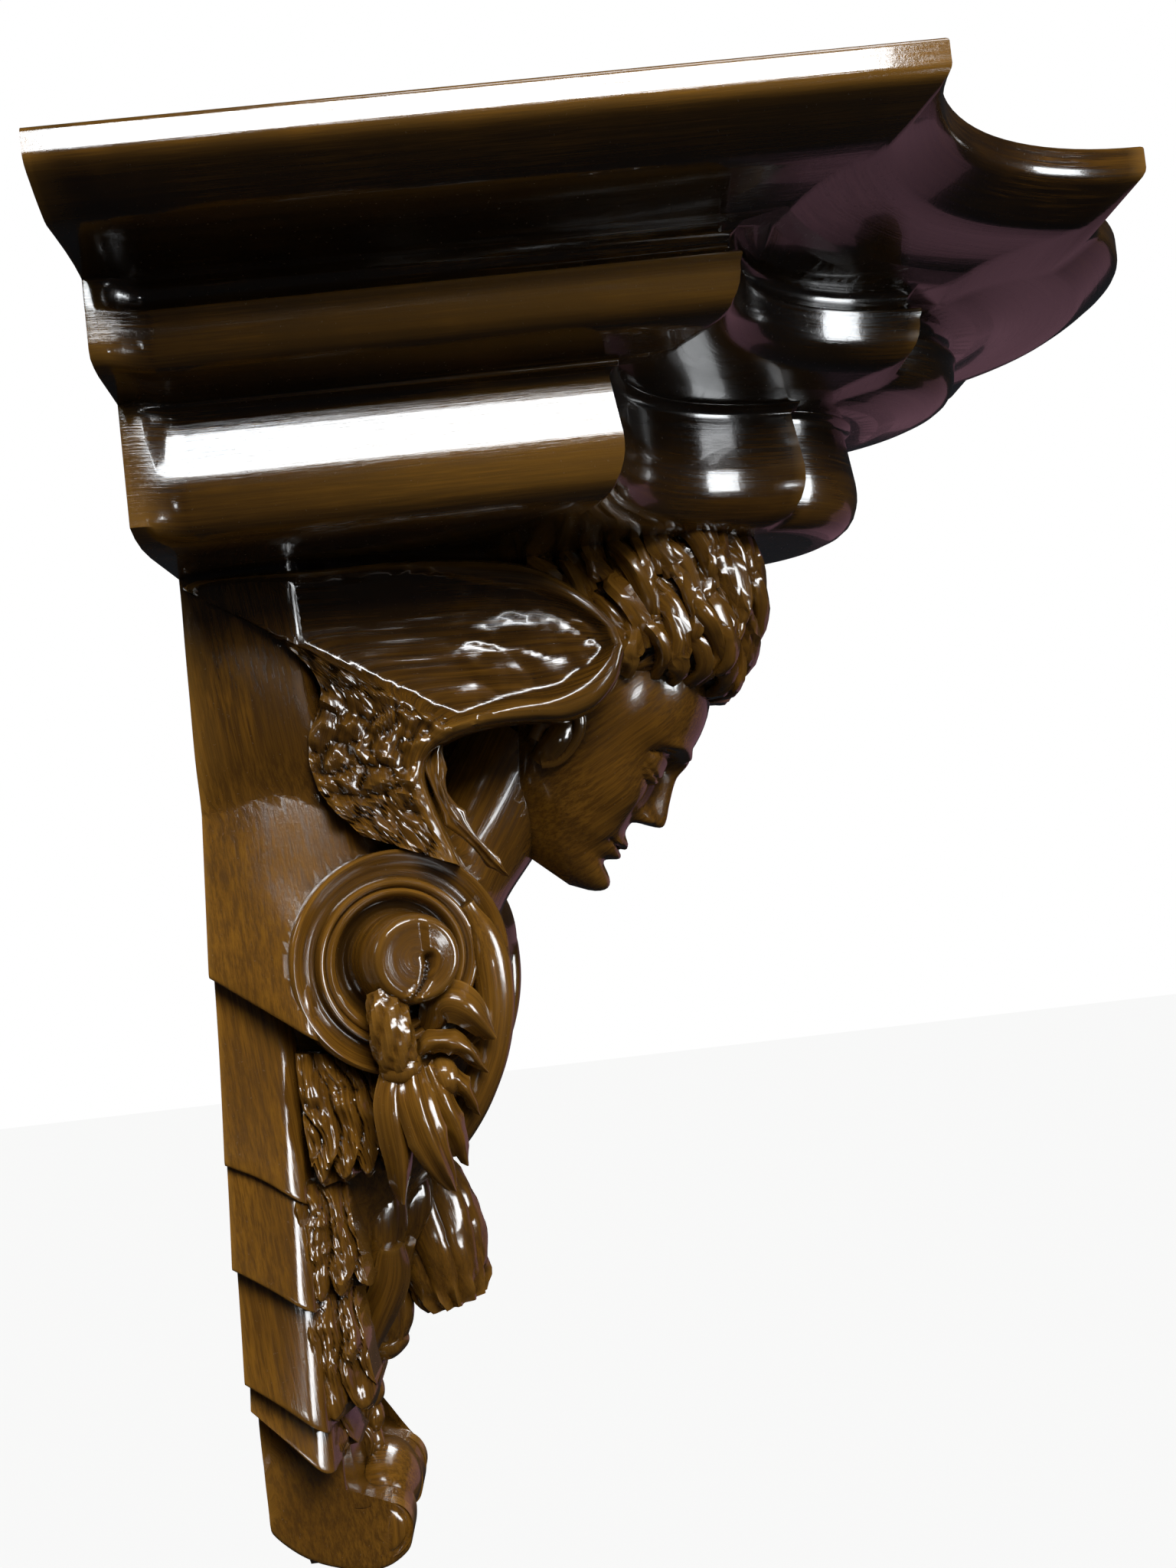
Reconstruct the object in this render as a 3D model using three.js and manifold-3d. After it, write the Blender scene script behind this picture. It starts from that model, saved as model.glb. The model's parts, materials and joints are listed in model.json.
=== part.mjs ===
// Angel figure corbel: a three-tier wall shelf on a scrolled console with a bowed, winged head.
// Millimetres, +Z up, +Y into the wall, the front of the corbel towards -Y, +X to the viewer's right.
// The origin is on the flat wall face, on the centre line, HANG_DROP below the shelf's top.
import * as THREE from "three";
import { mergeVertices } from "three/addons/utils/BufferGeometryUtils.js";
import Module from "manifold-3d";

const wasm = await Module();
wasm.setup();

// Driving sizes of the shelf
const HANG_DROP = 60; // shelf top down to the point where the hanger takes the load
const SHELF_WIDTH = 362; // across the top tier
const SHELF_SIDE = 217; // straight side of the top tier, out from the wall
const SHELF_THICK = 17.5; // top tier
const MIDDLE_THICK = 25; // middle tier
const LOWER_THICK = 41.5; // lower tier
const TOP_CORNER = 74; // radius of the hollow quarter rounds at the front corners
const MIDDLE_CORNER = 62;
const LOWER_CORNER = 60;
const MIDDLE_STEP = 46; // how far the middle tier stands in from the top tier's side
const LOWER_STEP = 72; // the same for the lower tier
const LOWER_SIDE_STEP = 9; // the lower tier's side is shorter again by this
const TOP_LOBE = { half: 64, rise: 24 }; // rounded tongue in the middle of the front edge
const MIDDLE_LOBE = { half: 47, rise: 27 };
const LOWER_LOBE = { half: 38, rise: 25 };
const STOP_LENGTH = 18; // the coves run out this far before the wall
const JOIN_TOLERANCE = 0.15; // slivers finer than this, where forms are joined, are dropped
const LAP = 1.5; // how far each tier and carving is sunk into the one above

// Driving size of the carving below the shelf; its forms keep their proportions to it
const CARVING_DROP = 321; // lower tier's underside to the foot
const DRAWN_DROP = 321; // the drop that the carving's own coordinates are drawn for
const SHELF_DEPTH_UNDER = SHELF_THICK + MIDDLE_THICK + LOWER_THICK;
const SCALE = CARVING_DROP / DRAWN_DROP;

const { sin, cos, abs, sqrt, PI, min, max, exp, atan2, asin, sign } = Math;
const mix = (a, b, t) => a + (b - a) * t;
// Eases from 0 at a to 1 at b, where a may be the larger.
const smooth = (a, b, t) => {
  const s = max(0, min(1, (t - a) / (b - a)));
  return s * s * (3 - 2 * s);
};
const bump = (x, width) => exp(-(x * x) / (width * width));
const V = (x, y, z) => new THREE.Vector3(x, y, z);

// A smooth function through [t, value] knots, level beyond its ends.
function profile(knots) {
  return (t) => {
    const last = knots.length - 1;
    if (t <= knots[0][0]) return knots[0][1];
    if (t >= knots[last][0]) return knots[last][1];
    const i = knots.findIndex((k) => k[0] > t) - 1;
    const [t0, a] = knots[i];
    const [t1, b] = knots[i + 1];
    const before = knots[max(i - 1, 0)];
    const after = knots[min(i + 2, last)];
    const slope0 = (b - before[1]) / (t1 - before[0]);
    const slope1 = (after[1] - a) / (after[0] - t0);
    const h = t1 - t0;
    const s = (t - t0) / h;
    return (
      (2 * s ** 3 - 3 * s ** 2 + 1) * a + (s ** 3 - 2 * s ** 2 + s) * h * slope0 +
      (3 * s ** 2 - 2 * s ** 3) * b + (s ** 3 - s ** 2) * h * slope1
    );
  };
}

// A manifold-3d solid from a closed three.js geometry, turned to face outwards.
function solid(geometry) {
  geometry.deleteAttribute("normal");
  geometry.deleteAttribute("uv");
  const merged = mergeVertices(geometry, 1e-4);
  const all = merged.index.array;
  const tris = [];
  for (let i = 0; i < all.length; i += 3) {
    const [a, b, c] = [all[i], all[i + 1], all[i + 2]];
    if (a !== b && b !== c && a !== c) tris.push(a, b, c);
  }
  const make = (list) =>
    new wasm.Manifold(
      new wasm.Mesh({
        numProp: 3,
        vertProperties: merged.attributes.position.array,
        triVerts: new Uint32Array(list),
      }),
    );
  const made = make(tris);
  return made.volume() > 0 ? made : make(tris.reverse());
}

// A solid lofted through closed rings of equal count, each end closed by a fan to its middle.
function loft(rings) {
  const count = rings[0].length;
  const points = rings.flat();
  const index = [];
  for (let i = 0; i + 1 < rings.length; i++)
    for (let j = 0; j < count; j++) {
      const a = i * count + j;
      const b = i * count + ((j + 1) % count);
      index.push(a, b, b + count, a, b + count, a + count);
    }
  for (const end of [0, rings.length - 1]) {
    const middle = points.length;
    const centre = V(0, 0, 0);
    rings[end].forEach((p) => centre.add(p));
    points.push(centre.divideScalar(count));
    for (let j = 0; j < count; j++) {
      const a = end * count + j;
      const b = end * count + ((j + 1) % count);
      index.push(...(end === 0 ? [b, a, middle] : [a, b, middle]));
    }
  }
  const geometry = new THREE.BufferGeometry().setFromPoints(points);
  geometry.setIndex(index);
  return solid(geometry);
}

// A tube of round section carried along points, its radius given at each point.
function rope(points, radius, sides = 5, steps = 6) {
  const path = new THREE.CatmullRomCurve3(points);
  const frames = path.computeFrenetFrames(steps);
  const rings = [];
  for (let i = 0; i <= steps; i++) {
    const t = i / steps;
    const centre = path.getPoint(t);
    const r = radius(t);
    const ring = [];
    for (let j = 0; j < sides; j++) {
      const a = (2 * PI * j) / sides;
      ring.push(
        centre.clone()
          .addScaledVector(frames.normals[i], r * cos(a))
          .addScaledVector(frames.binormals[i], r * sin(a)),
      );
    }
    rings.push(ring);
  }
  return loft(rings);
}

const mirrored = (made) => made.mirror([1, 0, 0]);

// Half of a tier's plan at an inset, from the wall to the middle of the front, then its mirror.
// Hollow quarter rounds stand on fixed centres, so an inset grows their radius.
function tierPlan(tier, inset, z) {
  const arcSteps = 6;
  const lobeSteps = 4;
  const wallInset = mix(inset, tier.stopInset, tier.stopped);
  const centre = { x: -tier.half, y: -(tier.side + tier.corner) };
  const radius = tier.corner + inset;
  const reach = sqrt(radius * radius - inset * inset);
  const first = atan2(reach, inset);
  const last = atan2(inset, reach);
  const half = [V(-(tier.half - wallInset), 0, z), V(-(tier.half - inset), -STOP_LENGTH, z)];
  for (let i = 0; i <= arcSteps; i++) {
    const a = mix(first, last, i / arcSteps);
    half.push(V(centre.x + radius * cos(a), centre.y + radius * sin(a), z));
  }
  const front = -centre.y - inset;
  const lobeHalf = tier.lobe.half - inset / 4;
  const lobeRadius = (lobeHalf ** 2 + tier.lobe.rise ** 2) / (2 * tier.lobe.rise);
  const spread = asin(lobeHalf / lobeRadius);
  for (let i = 0; i <= lobeSteps; i++) {
    const a = mix(-spread, 0, i / lobeSteps);
    const y = front + tier.lobe.rise - lobeRadius * (1 - cos(a));
    half.push(V(lobeRadius * sin(a), -y, z));
  }
  const other = half.slice(0, -1).map((p) => V(-p.x, p.y, p.z)).reverse();
  return [...half, ...other];
}

function shelfTier(tier) {
  return loft(tier.section.map(([inset, drop]) => tierPlan(tier, inset, -(tier.top + drop))));
}

// Top tier: flat fillet edge, then a slightly hollow bevel down to its soffit.
const topTier = {
  half: SHELF_WIDTH / 2, side: SHELF_SIDE, corner: TOP_CORNER, lobe: TOP_LOBE,
  top: 0, stopped: 0, stopInset: 0,
  section: [
    [1.2, 0], [0, 1.4], [0, 0.5 * SHELF_THICK], [1.8, 0.56 * SHELF_THICK],
    [7, 0.74 * SHELF_THICK], [14.5, SHELF_THICK],
  ],
};
// Middle tier: a small cove under the soffit, a hollow band and a quarter round.
const middleTier = {
  half: SHELF_WIDTH / 2 - MIDDLE_STEP, side: SHELF_SIDE - MIDDLE_STEP, corner: MIDDLE_CORNER,
  lobe: MIDDLE_LOBE, top: SHELF_THICK, stopped: 1, stopInset: -4,
  section: [
    [-4, -LAP], [-4, 0.5], [0, 3.5], [3.6, 7.5], [0.8, 0.47 * MIDDLE_THICK],
    [2.4, 0.8 * MIDDLE_THICK], [7, MIDDLE_THICK],
  ],
};
// Lower tier: a lip, a tall cavetto, a step and a deep quarter round.
const lowerTier = {
  half: SHELF_WIDTH / 2 - LOWER_STEP, side: SHELF_SIDE - LOWER_STEP - LOWER_SIDE_STEP,
  corner: LOWER_CORNER, lobe: LOWER_LOBE, top: SHELF_THICK + MIDDLE_THICK, stopped: 1,
  stopInset: -5,
  section: [
    [-1, -LAP], [-1, 2.5], [5.5, 0.22 * LOWER_THICK], [6, 0.34 * LOWER_THICK],
    [0.5, 0.52 * LOWER_THICK], [2.4, 0.55 * LOWER_THICK], [1.6, 0.64 * LOWER_THICK],
    [8, 0.9 * LOWER_THICK], [17, LOWER_THICK],
  ],
};

// The carving is drawn in millimetres below the soffit of the lower tier, z from 0 to -DRAWN_DROP.
// All its points pass through here on the way to the shelf's own frame.
function carve(made) {
  return made.scale([SCALE, SCALE, SCALE]).translate([0, 0, -SHELF_DEPTH_UNDER]);
}

// Console core: sections from the wall round to the middle of the front, level by level.
// wall and front are half widths, side is where the flank turns, depth the reach of the front.
const core = {
  wall: profile([[0, 58], [34, 59], [76, 63], [103, 70], [120, 74], [131, 64], [152, 60],
    [236, 57], [250, 64], [278, 64], [290, 57], [300, 42], [310, 22], [318, 8]]),
  side: profile([[0, 60], [56, 63], [92, 73], [120, 76], [134, 68], [152, 56], [236, 50],
    [250, 57], [278, 56], [290, 48], [300, 34], [310, 17], [318, 7]]),
  sideAt: profile([[0, 20], [120, 22], [152, 22], [236, 16], [278, 12], [318, 6]]),
  front: profile([[0, 50], [76, 54], [106, 50], [150, 46], [196, 40], [236, 34], [270, 40],
    [300, 30], [318, 6]]),
  depth: profile([[0, 46], [50, 50], [76, 64], [92, 76], [116, 85], [140, 86], [156, 82],
    [170, 74], [183, 63], [200, 50], [220, 40], [240, 28], [262, 22], [290, 22], [306, 19],
    [318, 12]]),
};
function coreRing(d) {
  const flank = 3;
  const nose = 4;
  const W = core.wall(d);
  const S = core.side(d);
  const D = core.depth(d);
  const F = core.front(d);
  const y1 = min(core.sideAt(d), 0.6 * D);
  const half = [V(-W, 0, -d)];
  for (let i = 1; i <= flank; i++) {
    const t = i / flank;
    half.push(V(-mix(W, S, sin((t * PI) / 2)), -y1 * t, -d));
  }
  for (let i = 1; i <= nose; i++) {
    const a = (i / nose) * (PI / 2);
    half.push(V(-mix(S, F, sin(a)) * cos(a) ** 0.55, -mix(y1, D, sin(a)), -d));
  }
  half[half.length - 1].x = 0;
  const other = half.slice(0, -1).map((p) => V(-p.x, p.y, p.z)).reverse();
  return [...half, ...other];
}
function consoleCore() {
  const levels = [-LAP, 34, 60, 76, 92, 106, 120, 133, 150, 164, 181, 203, 222, 240, 262, 284, 300,
    312, 318];
  return loft(levels.map(coreRing));
}

// Overlapping smooth leaves against the wall: each flares down to a slanting lower edge.
const leafBands = [
  { top: 128, foot: 180, wallTop: 66, wallFoot: 77 },
  { top: 172, foot: 205, wallTop: 71, wallFoot: 80.5 },
  { top: 196, foot: 240, wallTop: 71.4, wallFoot: 79 },
  { top: 232, foot: 251, wallTop: 68, wallFoot: 74 },
];
const LEAF_REACH = 24; // from the wall to the leaves' crisp front edge
const LEAF_FALL = 0.48; // slope of the lower edges
function leafBand(band) {
  const rings = [];
  const steps = 2;
  for (let i = 0; i <= steps + 1; i++) {
    const t = min(i / steps, 1);
    const tuck = i > steps ? 5 : 0;
    const W = mix(band.wallTop, band.wallFoot, t ** 1.5) - tuck;
    const section = [[0, 0], [1.6, 0.5], [5.6, 0.93], [8.5, 1.03], [24, 0.95], [42, 0]];
    rings.push(
      section.map(([inset, share]) => {
        const y = LEAF_REACH * share;
        return V(-(W - inset), -y, -(mix(band.top, band.foot, t) + LEAF_FALL * y * t));
      }),
    );
  }
  return loft(rings);
}

// Side volutes: a dished disc with a raised coil and an eye that stands out, turned to the front.
const volute = {
  centre: V(-65, -56, -121), radius: 33, turn: THREE.MathUtils.degToRad(20),
  section: [[33, -24], [33, -1.5], [31.5, 0], [25, -1.8], [23.5, -3.6], [21, -0.2], [17.5, -4.6],
    [14.4, -4.6], [13, 9.5], [11, 11.6]],
};
function voluteSolid() {
  const rings = [];
  const across = V(sin(volute.turn), -cos(volute.turn), 0);
  const out = V(-cos(volute.turn), -sin(volute.turn), 0);
  for (const [r, h] of volute.section) {
    const ring = [];
    for (let j = 0; j < 14; j++) {
      const a = (2 * PI * j) / 14;
      const egg = r * (1 + 0.05 * (r / volute.radius) * cos(a + 0.9));
      ring.push(
        volute.centre.clone()
          .addScaledVector(across, egg * cos(a))
          .add(V(0, 0, egg * sin(a)))
          .addScaledVector(out, h),
      );
    }
    rings.push(ring);
  }
  return loft(rings);
}

// Wings: a strip that rises from the breast, turns and runs forward to a rounded tip.
// Each row gives the strip's inner and outer edge as [forward, down].
const wingRows = [
  [[76, 96], [48, 84]], [[70, 78], [37, 70]], [[68, 68], [35, 55]], [[71, 61], [40, 37]],
  [[79, 57], [25, 19]], [[90, 55], [1, 1.5]], [[103, 55], [44, 1.5]], [[113, 55.5], [78, 2.5]],
  [[122, 52.5], [105, 7]], [[129, 46], [121, 17]], [[132.5, 38], [130, 27]],
];
const WING_FACE = 66; // distance of the wing's face from the middle
const WING_THICK = 18;
const wingEdge = [0, 1].map((edge) =>
  [0, 1].map((axis) =>
    profile(wingRows.map((row, i) => [i / (wingRows.length - 1), row[edge][axis]])),
  ),
);
const wingPoint = (u, v) => [0, 1].map((axis) => mix(wingEdge[0][axis](v), wingEdge[1][axis](v), u));
function wing() {
  const across = 6;
  const along = 16;
  const rings = [];
  for (let i = 0; i <= along; i++) {
    const v = i / along;
    const face = [];
    const back = [];
    const upper = smooth(0.42, 0.6, v);
    for (let j = 0; j <= across; j++) {
      const u = j / across;
      const [y, d] = wingPoint(u, v);
      const rim = upper * (bump(u - 1, 0.16) * 5 + bump(u, 0.18) * 4) + (1 - upper) * bump(u, 0.16) * 3;
      const tip = 3 * bump(v - 1, 0.08);
      const feathers = 1.4 * abs(sin(u * PI * 4.5)) * upper * smooth(0, 0.2, u) * smooth(1, 0.8, u);
      const coverts = (1 - upper) * 2.2 * abs(sin(v * 34 + u * 3) * cos(u * 11 - v * 9));
      const edge = 4 * (bump(u, 0.05) + bump(u - 1, 0.05));
      const wallward = 7 * smooth(30, 0, y);
      face.push(V(-(WING_FACE - 5 - wallward + rim + tip + feathers + coverts - edge), -y, -d));
      if (j % 3 === 0) back.push(V(-(WING_FACE - WING_THICK - 3), -y, -d));
    }
    rings.push([...face, ...back.reverse()]);
  }
  return loft(rings);
}

// Head: drawn upright in its own frame (x across, n forward from the face, u up from the chin),
// then bowed forward about the chin.
const head = {
  chin: V(0, -116, -113), tall: 98, bow: THREE.MathUtils.degToRad(41), axis: -40,
  half: profile([[0, 7], [4, 13], [10, 19], [20, 26], [32, 31], [46, 33.5], [62, 35], [76, 34],
    [88, 27], [95, 16], [98, 6]]),
  front: profile([[0, -10], [3, -3], [8, -1], [14, -4], [20, -3.5], [27, -4.5], [38, -5], [50, -4],
    [58, -1.5], [70, -2.5], [80, -7], [90, -18], [96, -30], [98, -38]]),
  back: profile([[0, -22], [8, -36], [20, -50], [34, -62], [50, -80], [64, -86], [78, -84],
    [90, -72], [96, -56], [98, -44]]),
};
function headPlace(x, n, u) {
  const c = cos(head.bow);
  const s = sin(head.bow);
  return V(x, head.chin.y - n * c - u * s, head.chin.z - n * s + u * c);
}
// Forward relief of the face over across x and height u.
function faceRelief(x, u) {
  const side = abs(x);
  const ridge = smooth(26, 34, u) * smooth(60, 48, u) * mix(9.5, 3, smooth(28, 54, u));
  const nose = ridge * bump(x, mix(5.2, 3.6, smooth(28, 50, u)));
  const wingsOfNose = 3 * bump(side - 5, 3) * bump(u - 30, 3.5);
  const socket = -4.2 * bump(side - 14.5, 8) * bump(u - 50, 6);
  const lid = 3.2 * bump(side - 14.5, 5.5) * bump(u - 48.5, 3.4);
  const brow = 1.8 * bump(side - 14, 10) * bump(u - 57.5, 3.2);
  const upperLip = 3 * bump(x, 8.5) * bump(u - 20.6, 1.9);
  const lowerLip = 2.8 * bump(x, 7.5) * bump(u - 16.2, 2);
  const mouthLine = -1.6 * bump(x, 9.5) * bump(u - 18.5, 0.9);
  const chinBoss = 2.4 * bump(x, 8) * bump(u - 7, 5);
  const cheek = 1.6 * bump(side - 20, 8) * bump(u - 34, 9);
  return nose + wingsOfNose + socket + lid + brow + upperLip + lowerLip + mouthLine + chinBoss + cheek;
}
function skull() {
  const rings = [];
  const levels = [0, 3, 8, 13, 16.2, 18.5, 20.6, 26, 31, 39, 47, 50, 55, 60, 82];
  const count = 18;
  for (const u of levels) {
    const ring = [];
    for (let j = 0; j < count; j++) {
      const even = (2 * PI * j) / count;
      const a = even - 0.32 * sin(2 * even) - 0.2 * sin(even);
      const x = head.half(u) * sign(sin(a)) * abs(sin(a)) ** 0.9;
      const reach = cos(a) > 0 ? head.front(u) - head.axis : head.axis - head.back(u);
      let n = head.axis + reach * sign(cos(a)) * abs(cos(a)) ** 0.85;
      if (cos(a) > 0) n += faceRelief(x, u) * smooth(0.1, 0.5, cos(a));
      ring.push(headPlace(x, n, u));
    }
    rings.push(ring);
  }
  return loft(rings);
}
function ear() {
  const rim = [];
  for (let i = 0; i <= 8; i++) {
    const a = mix(-0.4, 4.4, i / 8);
    rim.push(headPlace(-(33.5 + 1.5 * sin(a)), -40 - 5.5 * cos(a), 37 + 9.5 * sin(a) + 1.5 * cos(a)));
  }
  return rope(rim, (t) => 2.3 - 0.6 * t, 4, 7);
}
// Hair: a thick cap with wavy locks drawn back from the brow, and a rosette curl at the temple.
function hairCap() {
  const rings = [];
  const levels = [50, 62, 74, 84, 96, 108, 120, 130];
  const count = 16;
  const spread = profile([[50, 0.97], [66, 1.06], [80, 1.13], [130, 1.1]]);
  const hairHalf = profile([[50, 32], [66, 37], [80, 41], [96, 43], [110, 41], [122, 34], [130, 24]]);
  const frontAt = profile([[50, -36], [64, -27], [74, -12], [84, 1], [94, 1], [104, -3], [114, -8],
    [124, -15], [130, -26]]);
  for (const u of levels) {
    const ring = [];
    for (let j = 0; j < count; j++) {
      const a = (2 * PI * j) / count;
      const reach = cos(a) > 0 ? frontAt(u) - head.axis : (head.axis - head.back(min(u, 84))) * spread(u);
      const wave = 1 + 0.035 * sin(9 * a + u * 0.16);
      ring.push(headPlace(hairHalf(u) * wave * sin(a), head.axis + reach * wave * cos(a), u));
    }
    rings.push(ring);
  }
  return loft(rings);
}
function lock(start, end, lift, sway, thick) {
  const points = [];
  for (let i = 0; i <= 4; i++) {
    const t = i / 4;
    const wave = sin(t * 2 * PI) * sway;
    points.push(
      headPlace(
        mix(start.x, end.x, t) - lift * sin(t * PI),
        mix(start.y, end.y, t),
        mix(start.z, end.z, t) + wave,
      ),
    );
  }
  return rope(points, (t) => thick * (0.35 + 0.65 * sin(PI * min(0.12 + t * 0.8, 1))), 4, 4);
}
function hairLocks() {
  const locks = [];
  const rows = 5;
  for (let i = 0; i < rows; i++) {
    const t = i / (rows - 1);
    const front = V(-mix(33, 4, t ** 1.4), mix(-30, 0, t ** 0.6), mix(60, 88, t));
    const middle = V(-mix(41, 14, t), mix(-48, -8, t), mix(72, 122, t));
    const behind = V(-mix(38, 30, t), mix(-74, -50, t), mix(78, 116, t));
    locks.push(lock(front, middle, 3, i % 2 ? 3 : -3, 5.4));
    if (i > 0) locks.push(lock(middle, behind, 3, i % 2 ? -3 : 3, 5.4));
  }
  const curl = [];
  for (let i = 0; i <= 8; i++) {
    const a = (i / 8) * 2.6 * PI;
    const r = 9 * (1 - 0.09 * i);
    curl.push(headPlace(-(30 + 0.9 * i), -14 + r * cos(a) * 0.8 + 0.4 * i, 102 + r * sin(a)));
  }
  locks.push(rope(curl, (t) => 3.8 - 1.4 * t, 4, 10));
  return locks;
}

// Neck and breast: a column from the console's top up into the head.
function neck() {
  const rings = [];
  const path = profile([[0, 48], [0.35, 62], [0.7, 82], [1, 98]]);
  const down = profile([[0, 120], [0.35, 103], [0.7, 80], [1, 56]]);
  const half = profile([[0, 46], [0.2, 40], [0.45, 29], [0.75, 26], [1, 26]]);
  const deep = profile([[0, 34], [0.25, 27], [0.5, 23], [1, 22]]);
  for (let i = 0; i <= 5; i++) {
    const t = i / 5;
    const tilt = mix(0.2, 0.75, t);
    const ring = [];
    for (let j = 0; j < 14; j++) {
      const a = (2 * PI * j) / 14;
      const forward = deep(t) * cos(a);
      ring.push(V(half(t) * sin(a), -(path(t) + forward * cos(tilt)), -(down(t) + forward * sin(tilt))));
    }
    rings.push(ring);
  }
  return loft(rings);
}

// A leaf or petal: a tapering ribbed blade along a path, widest a third of the way down.
function blade(points, width, thick, face) {
  const path = new THREE.CatmullRomCurve3(points);
  const rings = [];
  const steps = 3;
  for (let i = 0; i <= steps; i++) {
    const t = i / steps;
    const centre = path.getPoint(t);
    const along = path.getTangent(t);
    const across = new THREE.Vector3().crossVectors(along, face).normalize();
    const out = new THREE.Vector3().crossVectors(across, along).normalize();
    const w = width * (0.12 + 0.88 * sin(PI * min(0.16 + 0.78 * t, 1)) ** 0.8);
    const ring = [];
    for (const s of [-1, 0, 1])
      ring.push(centre.clone().addScaledVector(across, w * s).addScaledVector(out, s ? 0 : thick));
    ring.push(centre.clone().addScaledVector(out, -thick));
    rings.push(ring);
  }
  return loft(rings);
}

// Husk pendant under the eye of each volute: a calyx, a tie and three petals.
const SIDE_FACE = V(-0.94, -0.34, 0);
function husk() {
  return [
    rope([V(-70, -52, -131), V(-71, -51, -140), V(-69, -50, -150), V(-67, -50, -156)],
      (t) => 5 + 1.6 * sin(PI * t), 7, 5),
    blade([V(-66, -48, -150), V(-69, -46, -164), V(-66, -45, -178), V(-61, -45, -192)], 6, 4, SIDE_FACE),
    blade([V(-64, -52, -150), V(-67, -55, -164), V(-66, -58, -176), V(-60, -60, -189)], 8, 4.5, SIDE_FACE),
    blade([V(-60, -56, -148), V(-60, -62, -158), V(-58, -66, -170), V(-53, -67, -182)], 6, 3.5, SIDE_FACE),
    blade([V(-62, -64, -138), V(-61, -72, -140), V(-58, -78, -148), V(-52, -78, -158)], 5, 3, SIDE_FACE),
  ];
}

// Acanthus fringe in front of the smooth leaves, one crumpled spray for each leaf.
function fringe() {
  const sprays = [];
  const rows = [
    { top: 150, foot: 192, y: 30, x: 60, spread: 12 },
    { top: 186, foot: 221, y: 26, x: 60, spread: 8 },
    { top: 218, foot: 258, y: 23, x: 58, spread: 6 },
  ];
  for (const row of rows)
    for (let i = 0; i < 3; i++) {
      const y = row.y + (row.spread * i) / 2;
      const x = row.x - 4 * i;
      sprays.push(
        blade(
          [V(-x + 4, -y, -row.top), V(-x, -y - 1, -mix(row.top, row.foot, 0.35)),
            V(-x - 2, -y - 2, -mix(row.top, row.foot, 0.7)), V(-x + 3, -y - 1 - i, -row.foot + 3 * i)],
          5.5, 4, V(-0.85, -0.5, 0)),
      );
    }
  return sprays;
}

// Fruit drop down the middle: ribbed pods, a bud in its cup and a beaded stem.
function pod(top, foot, radius, ribs, steps = 5) {
  const axis = foot.clone().sub(top);
  const across = V(1, 0, 0);
  const out = new THREE.Vector3().crossVectors(axis, across).normalize();
  const rings = [];
  const sides = ribs * 2;
  for (let i = 0; i <= steps; i++) {
    const t = i / steps;
    const r = radius * sin(PI * (0.06 + 0.86 * t)) ** 0.62;
    const ring = [];
    for (let j = 0; j < sides; j++) {
      const a = (2 * PI * j) / sides;
      const rr = r * (j % 2 ? 1 : 0.9);
      ring.push(top.clone().addScaledVector(axis, t)
        .addScaledVector(across, rr * cos(a)).addScaledVector(out, rr * sin(a)));
    }
    rings.push(ring);
  }
  return loft(rings);
}
function fruitDrop() {
  const parts = [pod(V(0, -44, -192), V(0, -54, -236), 17, 7)];
  for (const sideways of [-1, 1]) {
    parts.push(pod(V(26 * sideways, -34, -190), V(24 * sideways, -32, -222), 12, 5));
    parts.push(blade([V(22 * sideways, -40, -214), V(17 * sideways, -38, -226),
      V(12 * sideways, -32, -240), V(6 * sideways, -24, -252)], 5, 3, V(0, -1, 0)));
  }
  parts.push(pod(V(0, -30, -226), V(0, -30, -254), 12, 4));
  for (let i = 0; i < 4; i++)
    parts.push(pod(V(0, -25 + i, -(250 + 8 * i)), V(0, -24 + i, -(261 + 8 * i)), 5.5 - 0.4 * i, 3, 3));
  return parts;
}

// Foot: three short rolls side by side where the console's tail curls forward.
function footRolls() {
  const roll = (x0, x1, y, d, r) =>
    rope([V(x0, -y, -d), V(mix(x0, x1, 0.35), -y, -d), V(mix(x0, x1, 0.65), -y, -d), V(x1, -y, -d)],
      (t) => r * (0.72 + 0.28 * sin(PI * t) ** 0.5), 8, 4);
  return [roll(-42, -19, 27, 297, 11), roll(-21, 21, 21, 297, 16), roll(19, 42, 27, 297, 11)];
}

function corbel() {
  const left = [voluteSolid(), wing(), ear(), ...hairLocks(), ...husk(), ...fringe(),
    ...leafBands.map(leafBand)];
  const middle = [consoleCore(), neck(), skull(), hairCap(), ...fruitDrop(), ...footRolls()];
  const carved = wasm.Manifold.union([...middle, ...left, ...left.map(mirrored)]);
  const shelf = wasm.Manifold.union([topTier, middleTier, lowerTier].map(shelfTier));
  const below = wasm.Manifold.union([shelf, carve(carved)]);
  return below.simplify(JOIN_TOLERANCE).trimByPlane([0, -1, 0], 0);
}

// A three.js geometry from a manifold-3d solid.
function geometryOf(made) {
  const mesh = made.getMesh();
  const positions = new Float32Array(mesh.numVert * 3);
  for (let i = 0; i < mesh.numVert; i++)
    positions.set(mesh.vertProperties.subarray(i * mesh.numProp, i * mesh.numProp + 3), i * 3);
  const geometry = new THREE.BufferGeometry();
  geometry.setAttribute("position", new THREE.BufferAttribute(positions, 3));
  geometry.setIndex(new THREE.BufferAttribute(mesh.triVerts, 1));
  geometry.computeVertexNormals();
  return geometry;
}

const bronzeBrown = new THREE.MeshStandardMaterial({ color: 0x4a3413, roughness: 0.25, metalness: 0.1 });
const group = new THREE.Group();
const casting = new THREE.Mesh(geometryOf(corbel()), bronzeBrown);
casting.name = "angel_corbel";
casting.position.z = HANG_DROP;
group.add(casting);

export default group;
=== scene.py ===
"""Angel figure corbel: one glossy casting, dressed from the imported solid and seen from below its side."""
import json
import math

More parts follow.
